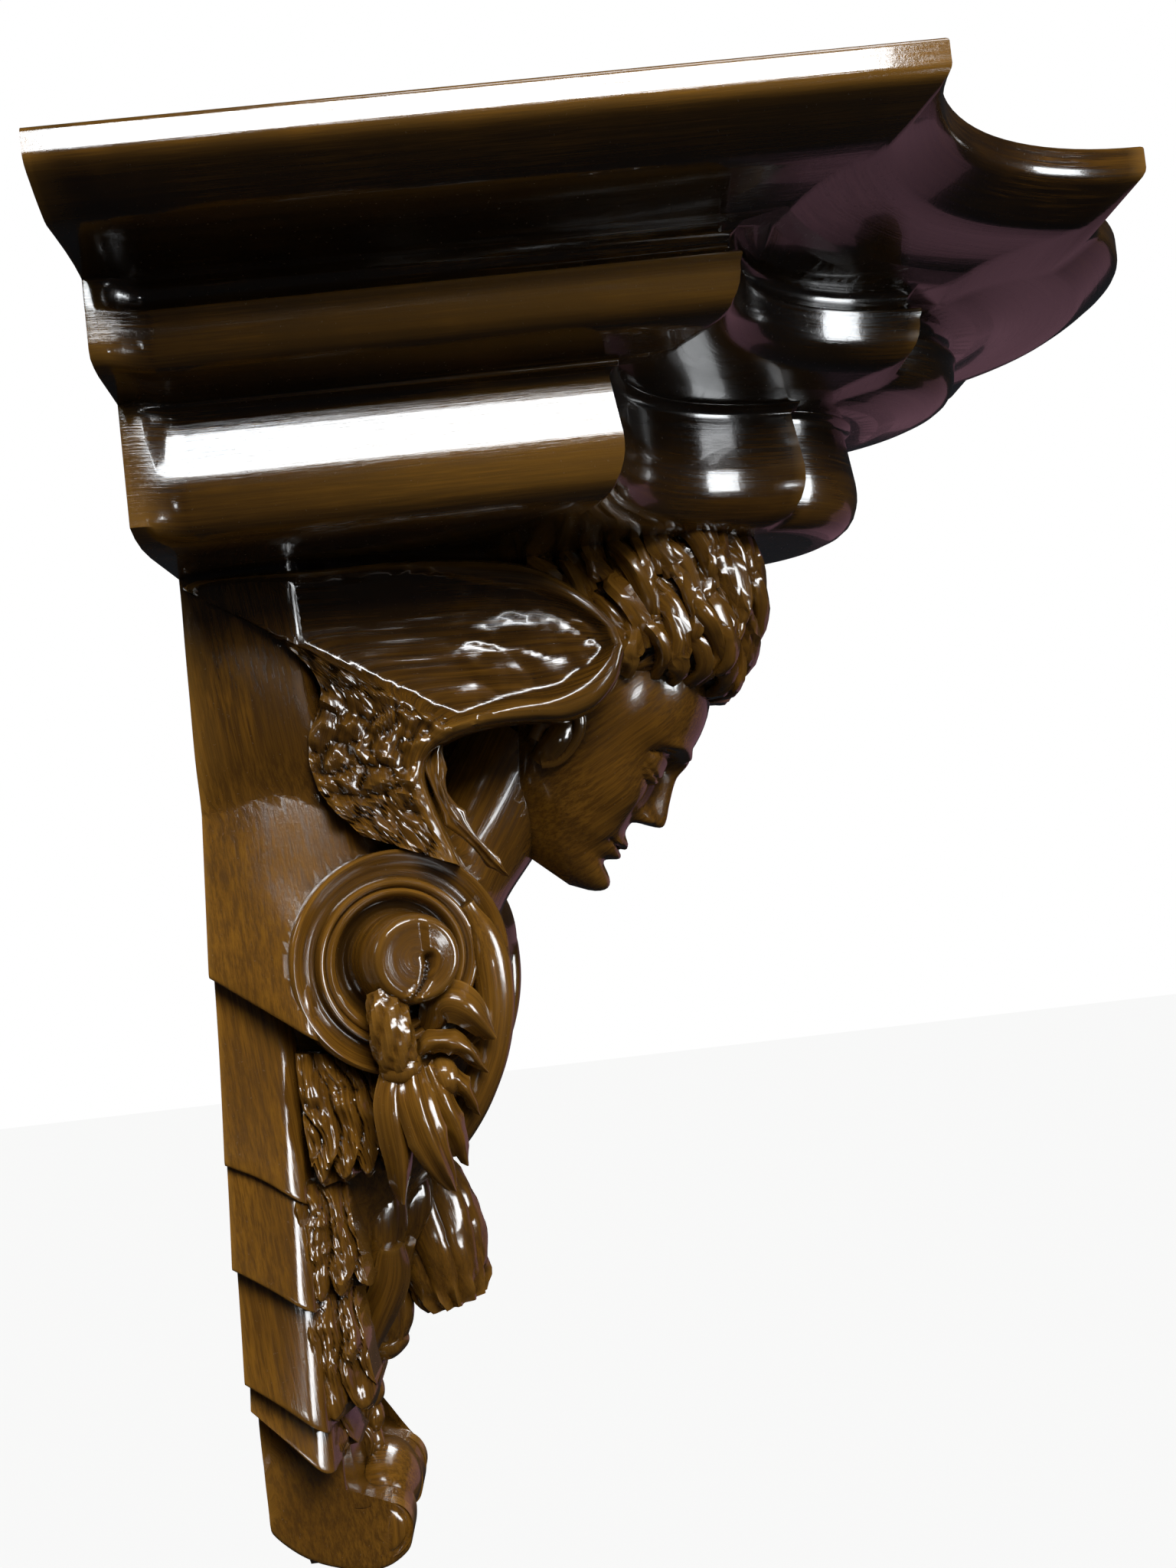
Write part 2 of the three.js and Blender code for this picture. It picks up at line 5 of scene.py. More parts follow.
import bmesh
import bpy
import numpy as np
from mathutils import Matrix, Vector

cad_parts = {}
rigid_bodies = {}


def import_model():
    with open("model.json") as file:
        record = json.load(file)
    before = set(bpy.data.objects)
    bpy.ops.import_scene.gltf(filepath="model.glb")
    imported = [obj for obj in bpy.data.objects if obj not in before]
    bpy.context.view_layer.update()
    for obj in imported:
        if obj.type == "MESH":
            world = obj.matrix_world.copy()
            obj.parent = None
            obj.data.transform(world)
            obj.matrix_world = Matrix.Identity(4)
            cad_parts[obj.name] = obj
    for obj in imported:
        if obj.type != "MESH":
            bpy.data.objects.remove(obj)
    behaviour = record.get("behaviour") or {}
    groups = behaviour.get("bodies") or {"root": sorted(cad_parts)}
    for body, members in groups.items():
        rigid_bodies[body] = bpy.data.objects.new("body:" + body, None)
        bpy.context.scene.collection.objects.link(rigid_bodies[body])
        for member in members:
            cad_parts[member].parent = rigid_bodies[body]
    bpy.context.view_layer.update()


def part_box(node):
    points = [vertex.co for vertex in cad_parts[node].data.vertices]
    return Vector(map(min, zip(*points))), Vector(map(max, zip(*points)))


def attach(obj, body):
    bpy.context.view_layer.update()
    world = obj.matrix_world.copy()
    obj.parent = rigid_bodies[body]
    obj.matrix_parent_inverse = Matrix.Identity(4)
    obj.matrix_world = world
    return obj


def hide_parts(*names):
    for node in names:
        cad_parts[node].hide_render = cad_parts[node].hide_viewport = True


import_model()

# Camera: it stands to the side, a little below the head, and looks slightly up with a small roll.
# The place and lens were worked out from the corners of the three tiers and the wall line.
CAMERA_AT = Vector((-0.5467, -0.1030, -0.1213))
CAMERA_YAW = -0.0288
CAMERA_PITCH = 0.0440
CAMERA_ROLL = -0.1110
FOCAL_PIXELS = 2100
IMAGE_WIDTH = 1536
FILM_WIDTH = 36.0


def make_camera():
    """Forward from yaw and pitch, then right and up turned about it by the roll."""
    forward = Vector((
        math.cos(CAMERA_PITCH) * math.cos(CAMERA_YAW),
        math.cos(CAMERA_PITCH) * math.sin(CAMERA_YAW),
        math.sin(CAMERA_PITCH),
    ))
    level_right = Vector((math.sin(CAMERA_YAW), -math.cos(CAMERA_YAW), 0))
    level_up = level_right.cross(forward)
    right = math.cos(CAMERA_ROLL) * level_right + math.sin(CAMERA_ROLL) * level_up
    up = -math.sin(CAMERA_ROLL) * level_right + math.cos(CAMERA_ROLL) * level_up
    data = bpy.data.cameras.new("camera")
    data.sensor_fit = "HORIZONTAL"
    data.sensor_width = FILM_WIDTH
    data.lens = FOCAL_PIXELS / IMAGE_WIDTH * FILM_WIDTH
    camera = bpy.data.objects.new("camera", data)
    bpy.context.scene.collection.objects.link(camera)
    turn = Matrix((right, up, -forward)).transposed().to_4x4()
    camera.matrix_world = Matrix.Translation(CAMERA_AT) @ turn
    bpy.context.scene.camera = camera


make_camera()

# Shelf: three stepped tiers, cast with the rest, with run mouldings on their edges.
# Each plan has straight sides, hollow quarter rounds at the front corners and a rounded tongue.
# Lengths are in millimetres from here on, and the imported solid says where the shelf's top lies.
MM = 0.001
SHELF_DROPS = (17.5, 25.0, 41.5)  # thickness of the top, middle and lower tier
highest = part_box("angel_corbel")[1]
SHELF_TOP = highest[2] / MM
SOFFIT = SHELF_TOP - sum(SHELF_DROPS)
HALF_WIDTH = highest[0] / MM
MIDDLE_STEP, LOWER_STEP = 46, 72  # how far the lower tiers stand in from the top tier's side
STOP_FROM, STOP_TO = 2.5, 15.0  # the coves of the two lower tiers run out between these, off the wall
COVE_START = 4  # the first part of a moulding's inset keeps its depth where the cove runs out
ARC_STEPS, LOBE_STEPS, STOP_STEPS = 24, 14, 9
forms = []  # for each form its points, triangles and streak coordinates


def add_form(p, brush, mirror=False):
    """Keeps the solid whose rings are the rows of grid p, each end closed by a fan, and its mirror image.

    brush holds the streaks' coordinates of the same grid.
    """
    rings, count = p.shape[:2]
    index = np.arange(rings * count).reshape(rings, count)
    a, b = index[:-1], np.roll(index, -1, axis=1)[:-1]
    c, d = b + count, a + count
    quads = np.stack([a, b, c, d], axis=-1).reshape(-1, 4)
    triangles = np.concatenate([quads[:, [0, 1, 2]], quads[:, [0, 2, 3]]])
    points = np.concatenate([p.reshape(-1, 3), p[:1].mean(axis=1), p[-1:].mean(axis=1)])
    paint = np.concatenate([brush.reshape(-1, 3), brush[:1].mean(axis=1), brush[-1:].mean(axis=1)])
    first, last = index[0], index[-1]
    low = np.stack([np.roll(first, -1), first, np.full(count, rings * count)], axis=-1)
    high = np.stack([last, np.roll(last, -1), np.full(count, rings * count + 1)], axis=-1)
    triangles = np.concatenate([triangles, low, high])
    corners = points[triangles]
    volume = np.sum(np.cross(corners[:, 0], corners[:, 1]) * corners[:, 2])
    if volume < 0:
        triangles = triangles[:, ::-1]
    forms.append((points, triangles, paint))
    if mirror:
        forms.append((points * [-1, 1, 1], triangles[:, ::-1], paint * [-1, 1, 1]))


def mix(a, b, t):
    """Straight blend from a to b."""
    return a + (b - a) * t


def ease(a, b, x):
    """Eases from 0 at a to 1 at b, where a may be the larger."""
    s = np.clip((x - a) / (b - a), 0, 1)
    return s * s * (3 - 2 * s)


def tier_ring(half, side, corner, lobe, inset, stop):
    """Half a plan at an inset, wall to middle: side, hollow quarter round on a fixed centre, tongue."""
    run = np.linspace(0, 1, STOP_STEPS)
    y = STOP_TO * 1.1 * run
    out = mix(stop, inset, ease(STOP_FROM, STOP_TO, y))
    wall_end = np.stack([-(half - out), -y], axis=-1)
    centre_y = side + corner
    radius = corner + inset
    reach = math.sqrt(max(radius**2 - inset**2, 0))
    a = np.linspace(math.atan2(reach, inset), math.atan2(inset, reach), ARC_STEPS)
    hollow = np.stack([-half + radius * np.cos(a), -(centre_y - radius * np.sin(a))], axis=-1)
    lobe_half = lobe[0] - inset / 4
    lobe_radius = (lobe_half**2 + lobe[1] ** 2) / (2 * lobe[1])
    spread = math.asin(lobe_half / lobe_radius)
    b = np.linspace(-spread, 0, LOBE_STEPS)
    front = centre_y - inset + lobe[1] - lobe_radius * (1 - np.cos(b))
    tongue = np.stack([lobe_radius * np.sin(b), -front], axis=-1)
    half_plan = np.concatenate([wall_end, hollow, tongue])
    return np.concatenate([half_plan, half_plan[-2::-1] * [-1, 1]])


def add_tier(top, half, side, corner, lobe, section, stop=None):
    """Rings of the plan at each (inset, drop) of the moulding's section; stop is the inset at the wall."""
    last = section[-1][0]
    plans = []
    for inset, _ in section:
        wall_inset = inset
        if stop is not None:
            wall_inset = stop + (last - stop) / (last - COVE_START) * max(0, inset - COVE_START)
        plans.append(tier_ring(half, side, corner, lobe, inset, wall_inset))
    plans = np.array(plans)
    drops = np.array([top + drop for _, drop in section])
    p = np.dstack([plans, np.broadcast_to(-drops[:, None], plans.shape[:2])])
    steps = np.linalg.norm(np.diff(p, axis=1), axis=-1).mean(axis=0)
    run = np.concatenate([[0], np.cumsum(steps)])
    rise = np.concatenate([[0], np.cumsum(np.linalg.norm(np.diff(np.array(section), axis=0), axis=-1))])
    brush = np.stack(np.broadcast_arrays(rise[:, None], top, run[None, :]), axis=-1)
    # On the flat top and soffit the streaks run from side to side.
    brush[[0, -1]] = p[[0, -1]][..., [1, 2, 0]]
    add_form(p + np.array([0, 0, SHELF_TOP]), brush)


TOP_EDGE = [
    (3.2, 0), (1.8, 0), (0.7, 0.2), (0.2, 0.6), (0, 1.2), (0, 1.6), (0, 6.0), (0, 6.6), (0.2, 7.6),
    (0.9, 8.8), (2.4, 10.2), (4.6, 11.7), (7.0, 13.4), (9.6, 15.0), (12.2, 16.4), (13.6, 17.1),
    (15.2, 17.5), (22, 17.7), (30, 18.1), (37, 18.9), (42, 20.0), (48, 21.8),
]
MIDDLE_EDGE = [
    (-1, 1.0), (-1, 3.2), (-0.4, 3.7), (0.6, 4.1), (2.2, 5.0), (3.6, 6.6), (3.9, 8.4), (2.9, 9.9),
    (1.4, 10.7), (0.7, 11.2), (0.5, 11.8), (0.8, 12.6), (1.3, 14.0), (1.5, 16.5), (2.0, 19.0),
    (3.0, 21.4), (4.6, 23.5), (6.8, 25.0), (9.6, 26.0), (13, 26.6), (18, 27.4), (23, 28.3), (29, 29.6),
]
LOWER_EDGE = [
    (-1, 0.9), (-1.0, 4.2), (-0.8, 4.8), (-0.2, 5.1), (0.9, 5.8), (1.7, 6.8), (1.95, 7.6), (1.9, 8.4),
    (1.75, 9.6), (1.4, 12.4), (1.05, 15.2), (0.7, 18.0), (0.35, 20.8), (0.1, 22.8), (-0.05, 24.0),
    (-0.12, 25.2), (-0.12, 27.0), (0.1, 29.4), (0.7, 31.8), (1.8, 34.6),
    (3.8, 37.3), (6.8, 39.5), (11.0, 41.0), (17.0, 41.6),
]
add_tier(top=0, half=HALF_WIDTH, side=217, corner=74, lobe=(64, 24), section=TOP_EDGE)
add_tier(top=SHELF_DROPS[0], half=HALF_WIDTH - MIDDLE_STEP, side=171, corner=62, lobe=(47, 27),
         section=MIDDLE_EDGE, stop=-3)
add_tier(top=SHELF_DROPS[0] + SHELF_DROPS[1], half=HALF_WIDTH - LOWER_STEP, side=136, corner=60,
         lobe=(38, 25), section=LOWER_EDGE, stop=-4)

# Console: the body of the bracket, from its flat back round to the breast and the tapering front.
# Its flanks are smooth, with a hollow under each wing and another over each scroll.
# The carving has its own z, which is 0 at the shelf's underside; d is the drop below that.
CONSOLE_FOOT = 318


def curve(*knots):
    """Cubic Hermite function through (t, value) knots, level beyond its ends."""
    t, v = np.array(knots, float).T
    slope = np.empty_like(v)
    slope[1:-1] = (v[2:] - v[:-2]) / (t[2:] - t[:-2])
    slope[0] = (v[1] - v[0]) / (t[1] - t[0])
    slope[-1] = (v[-1] - v[-2]) / (t[-1] - t[-2])

    def at(x):
        x = np.clip(x, t[0], t[-1])
        i = np.clip(np.searchsorted(t, x, side="right") - 1, 0, len(t) - 2)
        h = t[i + 1] - t[i]
        s = (x - t[i]) / h
        start = (2 * s**3 - 3 * s**2 + 1) * v[i] + (s**3 - 2 * s**2 + s) * h * slope[i]
        end = (3 * s**2 - 2 * s**3) * v[i + 1] + (s**3 - s**2) * h * slope[i + 1]
        return start + end

    return at


def hump(x, width):
    """A soft bell of height 1 round x = 0."""
    return np.exp(-((x / width) ** 2))


def brushed(p, direction=(0, 0, 1)):
    """Streak coordinates that run along one direction: two lengths across it and one along it."""
    up = np.array(direction, float) / np.linalg.norm(direction)
    side = np.cross(up, [0.3, 1.0, 0.1])
    side /= np.linalg.norm(side)
    return np.stack([p @ side, p @ np.cross(up, side), p @ up], axis=-1)


def below_shelf(p):
    """From the carving's own z, which is 0 at the soffit, to the part's frame."""
    return p + np.array([0, 0, SOFFIT])


wall_half = curve((0, 58), (34, 59), (56, 60), (70, 58.5), (90, 59), (117, 61), (130, 61), (152, 60),
                  (236, 57), (250, 64), (276, 60), (285, 48), (293, 36), (301, 24), (310, 13), (318, 6))
side_half = curve((0, 60), (56, 62.5), (70, 61), (92, 62), (110, 63), (132, 62), (152, 56), (236, 50),
                  (250, 57), (274, 53), (285, 42), (293, 31), (301, 21), (310, 12), (318, 6))
side_at = curve((0, 34), (60, 36), (90, 26), (120, 22), (152, 22), (236, 16), (278, 12), (318, 6))
front_half = curve((0, 50), (76, 54), (106, 50), (150, 46), (196, 40), (236, 34), (270, 40),
                   (300, 30), (318, 6))
front_reach = curve((0, 46), (50, 50), (76, 64), (92, 76), (116, 85), (140, 86), (156, 82), (170, 74),
                    (183, 63), (200, 50), (220, 40), (240, 28), (262, 22), (290, 22), (306, 19),
                    (318, 12))


def add_console():
    """Rings down the drop d: a quarter ellipse from the wall to the flank, a squarer one to the front."""
    d = np.concatenate([[-1.5], np.linspace(4, CONSOLE_FOOT, 92)])[:, None]
    flank = np.linspace(0, 1, 13)[None, :]
    nose = np.linspace(0, np.pi / 2, 16)[None, 1:]
    wall, side, reach, front = wall_half(d), side_half(d), front_reach(d), front_half(d)
    turn = np.minimum(side_at(d), 0.72 * reach)
    x1 = mix(wall, side, np.sin(flank * np.pi / 2))
    y1 = turn * flank
    x2 = mix(side, front, np.sin(nose)) * np.maximum(np.cos(nose), 0) ** 0.55
    y2 = mix(turn, reach, np.sin(nose))
    x = np.concatenate([x1, x2], axis=1)
    y = np.concatenate([y1, y2], axis=1)
    x[:, -1] = 0
    over_scroll = hump(d - 60 - 0.42 * y, 12) * ease(2, 34, y) * 2.0
    under_wing = hump(d - 6 - 0.75 * y, 12)
    x = x - (over_scroll + under_wing) * ease(70, 55, y)
    half = np.stack([-x, -y, np.broadcast_to(-d, x.shape)], axis=-1)
    p = np.concatenate([half, half[:, -2::-1] * [-1, 1, 1]], axis=1)
    add_form(below_shelf(p), brushed(p, (0, 0.12, 1)))


add_console()

# Smooth leaves against the wall, lapped like scales: each swells downward to a crisp slanting edge.
# The topmost is the back of the scroll, which runs forward behind the volute.
LEAF_REACH = 21.5
LEAVES = [
    dict(top=50, foot=121, wall=(52.5, 71.5), reach=62, tuck=9, bulge=1.0,
         fall=curve((0, 0), (20, 14), (30, 21.5), (38, 28), (46, 31), (62, 32)),
         section=((0, 0), (-1.7, 0.12), (-3.2, 0.24), (-4.2, 0.36), (-4.2, 0.5), (-2.4, 0.68),
                  (3.0, 0.85), (12, 1.0), (22, 0.95)),
         foot_section=((0, 0), (-1.7, 0.12), (-3.4, 0.24), (-4.8, 0.36), (-5.0, 0.44), (-2.0, 0.49),
                       (5.0, 0.55), (12, 1.0), (22, 0.95))),
    dict(top=118, foot=175, wall=(64, 75.5), fall=curve((0, 0), (10, 5.5), (21, 14.5), (24, 17)), tuck=5),
    dict(top=160, foot=204, wall=(70, 79.5), fall=curve((0, 0), (10, 7), (21, 16), (24, 18)), tuck=5),
    dict(top=192, foot=237, wall=(71.4, 78), fall=curve((0, 0), (10, 8), (21, 18), (24, 20)), tuck=5),
    dict(top=226, foot=246, wall=(68, 73.5), fall=curve((0, 0), (10, 11), (19, 21), (24, 22)), tuck=6),
]
LEAF_SECTION = ((0, 0), (0.3, 0.2), (0.7, 0.42), (1.2, 0.62), (1.7, 0.76), (2.2, 0.83), (3.1, 0.89),
                (4.3, 0.95), (5.8, 0.99), (8, 1.0), (13, 1.01), (22, 0.98), (42, 0.1))


def add_leaf(leaf):
    """Sections carried down from top to foot: x from the swelling wall width, z falling to the front."""
    section = np.array(leaf.get("section", LEAF_SECTION))
    t = np.concatenate([np.linspace(0, 0.968, 22), [0.982, 0.992, 0.998, 1.0, 1.0, 0.985]])
    tuck = np.concatenate([np.zeros(22), [0.1, 0.35, 0.85, 1.5, leaf["tuck"] * 0.7, leaf["tuck"] + 3]])
    s = np.linspace(0, len(section) - 1, 28)
    knot = np.arange(len(section))

    def round_leaf(column):
        return curve(*zip(knot, column))(s)[None, :]

    inset = round_leaf(section[:, 0])
    y = round_leaf(section[:, 1]) * leaf.get("reach", LEAF_REACH)
    if "foot_section" in leaf:
        low_section = np.array(leaf["foot_section"])
        change = ease(0.42, 0.68, t)[:, None]
        inset = mix(inset, round_leaf(low_section[:, 0]), change)
        y = mix(y, round_leaf(low_section[:, 1]) * leaf["reach"], change)
    low, high = leaf["wall"]
    width = mix(low, high, t ** leaf.get("bulge", 1.4)) - tuck
    x = width[:, None] - inset
    z = mix(leaf["top"], leaf["foot"], t)[:, None] + leaf["fall"](y) * mix(0.5, 1, t)[:, None]
    p = np.stack([-x, -np.broadcast_to(y, x.shape), -z], axis=-1)
    add_form(below_shelf(p), brushed(p, (0.1, 0.1, 1)), mirror=True)


for leaf in LEAVES:
    add_leaf(leaf)

# Side volutes: a dished disc with a raised coil and a stout eye, turned twenty degrees to the front.
# The eye stands well out, and its end is cut with a small curl.
VOLUTE_CENTRE = np.array([-65.0, -55.5, -121.5])
VOLUTE_RADIUS = 33.5
VOLUTE_TURN = math.radians(20)
volute_across = np.array([math.sin(VOLUTE_TURN), -math.cos(VOLUTE_TURN), 0])
volute_out = np.array([-math.cos(VOLUTE_TURN), -math.sin(VOLUTE_TURN), 0])
VOLUTE_SECTION = np.array([
    (33.5, -26), (33.7, -8), (33.8, -1.6), (33.5, -0.6), (32.8, -0.1), (32.0, -0.4), (30.5, -1.5),
    (28.5, -2.6), (26.4, -3.0), (25.3, -2.8), (24.8, -1.4), (24.5, 0.2), (24.0, 0.9), (23.1, 1.0),
    (22.4, 0.5), (22.0, -0.8), (21.6, -1.1), (21.2, -0.2), (20.5, 0.3), (19.6, 0.0), (18.8, -1.4),
    (18.1, -3.8), (17.2, -5.0), (16.0, -5.2), (15.2, -4.4), (14.8, -2.0), (14.4, 1.5), (13.8, 6.0),
    (13.3, 9.4), (12.9, 11.4), (12.3, 12.6), (11.4, 13.2), (10.4, 13.3), (9.6, 13.2), (8.8, 13.1),
    (8.0, 13.0), (7.2, 12.9), (6.4, 12.9), (5.6, 12.9), (4.8, 12.9), (4.0, 12.9), (3.2, 12.9),
    (2.4, 12.9), (1.6, 12.9), (0.8, 12.9),
])
EYE_SHIFT = 2.0  # the eye leans this far forward at its end
SLIT = [(3.4, -0.6), (3.2, -3.0), (2.0, -6.0), (-0.4, -9.4), (-3.2, -12.2)]


def slit_distance(x, z):
    """Distance to the nearest of the slit's straight stretches, and how far along it that is, 0 to 1."""
    nearest, where = 99.0, 0.0
    for i in range(len(SLIT) - 1):
        (ax, az), (bx, bz) = SLIT[i], SLIT[i + 1]
        length = (bx - ax) ** 2 + (bz - az) ** 2
        t = np.clip(((x - ax) * (bx - ax) + (z - az) * (bz - az)) / length, 0, 1)
        away = np.hypot(x - mix(ax, bx, t), z - mix(az, bz, t))
        where = np.where(away < nearest, (i + t) / (len(SLIT) - 1), where)
        nearest = np.minimum(away, nearest)
    return nearest, where


def add_volute():
    """Section turned about the volute's axis, wound in a little as a coil, with a slit in the eye's end."""
    a = np.linspace(0, 2 * np.pi, 96, endpoint=False)
    wound = (a / (2 * np.pi))[None, :]
    r, h = VOLUTE_SECTION[:, :1], VOLUTE_SECTION[:, 1:]
    angle = -np.pi / 2 - a[None, :]
    coil = 4.2 * (wound - 0.5) * hump(r - 22, 4.5)
    coil = coil * ease(0, 0.06, wound) * ease(1, 0.94, wound)
    radius = r * (1 + 0.05 * (r / VOLUTE_RADIUS) * np.cos(angle + 0.9)) - coil
    left = radius * np.cos(angle) + EYE_SHIFT * ease(-4, 12, h) * ease(15, 13.5, r)
    high = radius * np.sin(angle)
    away, where = slit_distance(left - EYE_SHIFT, high)
    slit = mix(3.4, 1.6, where) * hump(away, mix(1.5, 0.75, where)) * ease(14.2, 12.6, r)
    past_slit = left - EYE_SHIFT - 1.0 + 0.12 * (high + 2) ** 2 * (high < -2)
    lobe = 1.5 * ease(0.3, 3.0, past_slit) * ease(13, 11, r)
    height = h - slit + 0.5 * lobe
    p = (
        VOLUTE_CENTRE
        + volute_across * left[..., None]
        + np.array([0, 0, 1]) * high[..., None]
        + volute_out * height[..., None]
    )
    brush = np.stack(np.broadcast_arrays(r + h, 7.0, angle * np.maximum(r, 8)), axis=-1)
    add_form(below_shelf(p), brush, mirror=True)


add_volute()

# Wings: a strip that rises from the breast, turns and runs forward to a rounded tip.
# Long fine feathers lie back to the wall, small ruffled ones cover the arm, and a smooth rim frames all.
WING_EDGES = np.array([
    ((76, 96), (48, 84)), ((70, 78), (37, 70)), ((68, 68), (35, 55)), ((71, 61), (40, 37)),
    ((79, 57), (25, 19)), ((90, 55), (1, 1.5)), ((103, 55), (44, 1.5)), ((113, 55.5), (78, 2.5)),
    ((122, 52.5), (105, 7)), ((129, 46), (121, 17)), ((132.5, 38), (130, 27)),
], float)
WING_FACE, WING_THICK = 66.0, 18.0


def lumps(p, size, seed=0.0):
    """Gradient noise, about -1 to 1: at each lattice point a random slope, blended between the points."""
    q = np.asarray(p, float) / size
    cell = np.floor(q)
    f = q - cell
    w = f**3 * (f * (f * 6 - 15) + 10)
    total = 0.0
    for corner in np.ndindex(2, 2, 2):
        c = np.array(corner)
        at = cell + c
        angle = at @ np.array([127.1, 311.7, 74.7]) + seed
        slopes = [np.sin(angle * k) * 43758.5453 for k in (1.0, 1.37, 1.91)]
        slope = np.stack([2 * (s - np.floor(s)) - 1 for s in slopes], axis=-1)
        weight = np.prod(np.where(c == 1, w, 1 - w), axis=-1)
        total = total + weight * np.sum(slope * (f - c), axis=-1)
    return 1.6 * total


def ribs(x, sharp=1.0):
    """Rounded ridges with narrow grooves between them, 0 to 1, one for each unit of x."""
    return np.abs(np.sin(np.pi * x)) ** sharp


def through(values):
    """The curve through values spaced evenly from 0 to 1."""
    return curve(*zip(np.linspace(0, 1, len(values)), values))


def add_wing():
    """A sheet between two edge curves, raised by rim, feathers and ruffles, with a plain back."""
    v = np.concatenate([np.linspace(0, 0.9, 87), np.linspace(0.907, 1, 14)])[:, None]
    u = np.concatenate([np.linspace(0, 0.12, 7), np.linspace(0.143, 0.857, 30), np.linspace(0.88, 1, 7)])
    u = u[None, :]
    edge = [[through(WING_EDGES[:, e, k])(v) for k in range(2)] for e in range(2)]
    y = mix(edge[0][0], edge[1][0], u)
    d = mix(edge[0][1], edge[1][1], u)
    flat = np.stack(np.broadcast_arrays(y, d, 0.0), axis=-1)
    width = np.hypot(edge[1][0] - edge[0][0], edge[1][1] - edge[0][1])
    from_inner, from_outer = u * width, (1 - u) * width
    upper = ease(0.38, 0.5, v)
    to_tip = (1 - v) * 90
    frame_edge = np.minimum(np.minimum(from_outer * upper + 30 * (1 - upper), from_inner), to_tip + 3)
    rim_width = mix(4.0, 10.5, ease(60, 100, y) * upper + 0.35 * upper * ease(60, 40, y))
    across_rim = np.clip(frame_edge / rim_width, 0, 1)
    rim = 1.3 * (1 - (1 - across_rim * 1.7) ** 2) - 4.2 * ease(0.6, 1.25, frame_edge / rim_width)
    rim = mix(rim, 2.6 * (1 - ease(3.5, 7, from_inner)), 1 - upper)
    round_edge = -3.5 * (1 - np.sqrt(np.clip(1 - (1 - np.minimum(frame_edge, 3.5) / 3.5) ** 2, 0, 1)))
    field = ease(0.8, 1.4, frame_edge / rim_width)
    top_line = curve((1, 1.5), (44, 1.5), (78, 2.5), (105, 7), (121, 17), (130, 27))
    below = d - top_line(y)
    back_feathers = ease(0.42, 0.47, v) * ease(86, 70, y) * field
    quills = 0.5 * ribs(below / 3.2 + 0.012 * y + 0.25 * lumps(flat, 18, 3), 0.55) * back_feathers
    quill_ends = 0.35 * lumps(flat * [0.3, 1, 1], 5.0, 9) * back_feathers
    arm = ease(0.5, 0.4, v) * (0.25 + 0.75 * ease(1.5, 7, from_inner))
    warp = 2.6 * np.stack([lumps(flat, 9, k) for k in (1, 2, 3)], axis=-1)
    rows = (d + 1.4 * warp[..., 1]) / 8.0
    shells = ribs((y + 1.4 * warp[..., 0]) / 8.5 + 0.5 * np.floor(rows), 0.7)
    shells = shells * np.sin(np.pi * np.mod(rows, 1.0) ** 0.7)
    ruffles = 3.0 * shells + 3.2 * np.abs(lumps(flat + warp, 6.5, 5)) + 0.6 * lumps(flat, 3.0, 6)
    broad = (1 - back_feathers) * ease(0.42, 0.56, v) * field
    tips = ribs((y - 0.4 * d + 1.5 * warp[..., 0]) / 17, 0.5)
    tips = tips * ribs((below + 1.2 * warp[..., 1]) / 13, 0.6)
    plumes = broad * (tips + 1.1 * np.abs(lumps(flat * [0.8, 1.2, 1] + warp, 9, 8))
                      + 0.4 * np.abs(lumps(flat * [0.6, 1.4, 1] + warp, 3.4, 4)))
    wallward = 3.5 * ease(34, 0, y)
    height = WING_FACE - 5.5 - wallward + rim + round_edge + quills + quill_ends + arm * ruffles + plumes
    face = np.stack(np.broadcast_arrays(-(height + 1.5), -y, -d), axis=-1)
    inner = np.stack(np.broadcast_arrays(-(WING_FACE - WING_THICK), -y, -d), axis=-1)[:, ::7]
    p = np.concatenate([face, inner[:, ::-1]], axis=1)
    brush = np.stack(np.broadcast_arrays(60 * u, 3.0, 120 * v), axis=-1)
    brush = np.concatenate([brush, brush[:, ::7][:, ::-1]], axis=1)
    add_form(below_shelf(p), brush, mirror=True)


add_wing()


# Head: drawn upright in its own frame, x across, n forward and u up from the chin, then bowed.
# The face is calm and regular, with lowered lids, on the usual thirds of a face.
HEAD_CHIN = np.array([0.0, -116.0, -113.0])
HEAD_BOW = math.radians(41)
HEAD_AXIS = -40.0
head_half = curve((0, 7), (4, 13), (10, 19), (20, 26), (32, 31), (46, 33.5), (62, 35), (76, 34),
                  (88, 27), (95, 16), (98, 6))
head_front = curve((0, -10), (3, -3), (8, -1), (14, -4), (20, -3.5), (27, -4.5), (38, -5), (50, -4),
                   (58, -1.5), (70, -2.5), (80, -7), (90, -18), (96, -30), (98, -38))
head_back = curve((0, -22), (8, -36), (20, -50), (34, -62), (50, -80), (64, -86), (78, -84),
                  (90, -72), (96, -56), (98, -44))


def head_place(x, n, u):
    """From the head's own frame to the carving's: turned forward about the chin."""
    c, s = math.cos(HEAD_BOW), math.sin(HEAD_BOW)
    x, n, u = np.broadcast_arrays(x, n, u)
    return np.stack([x, HEAD_CHIN[1] - n * c - u * s, HEAD_CHIN[2] - n * s + u * c], axis=-1)


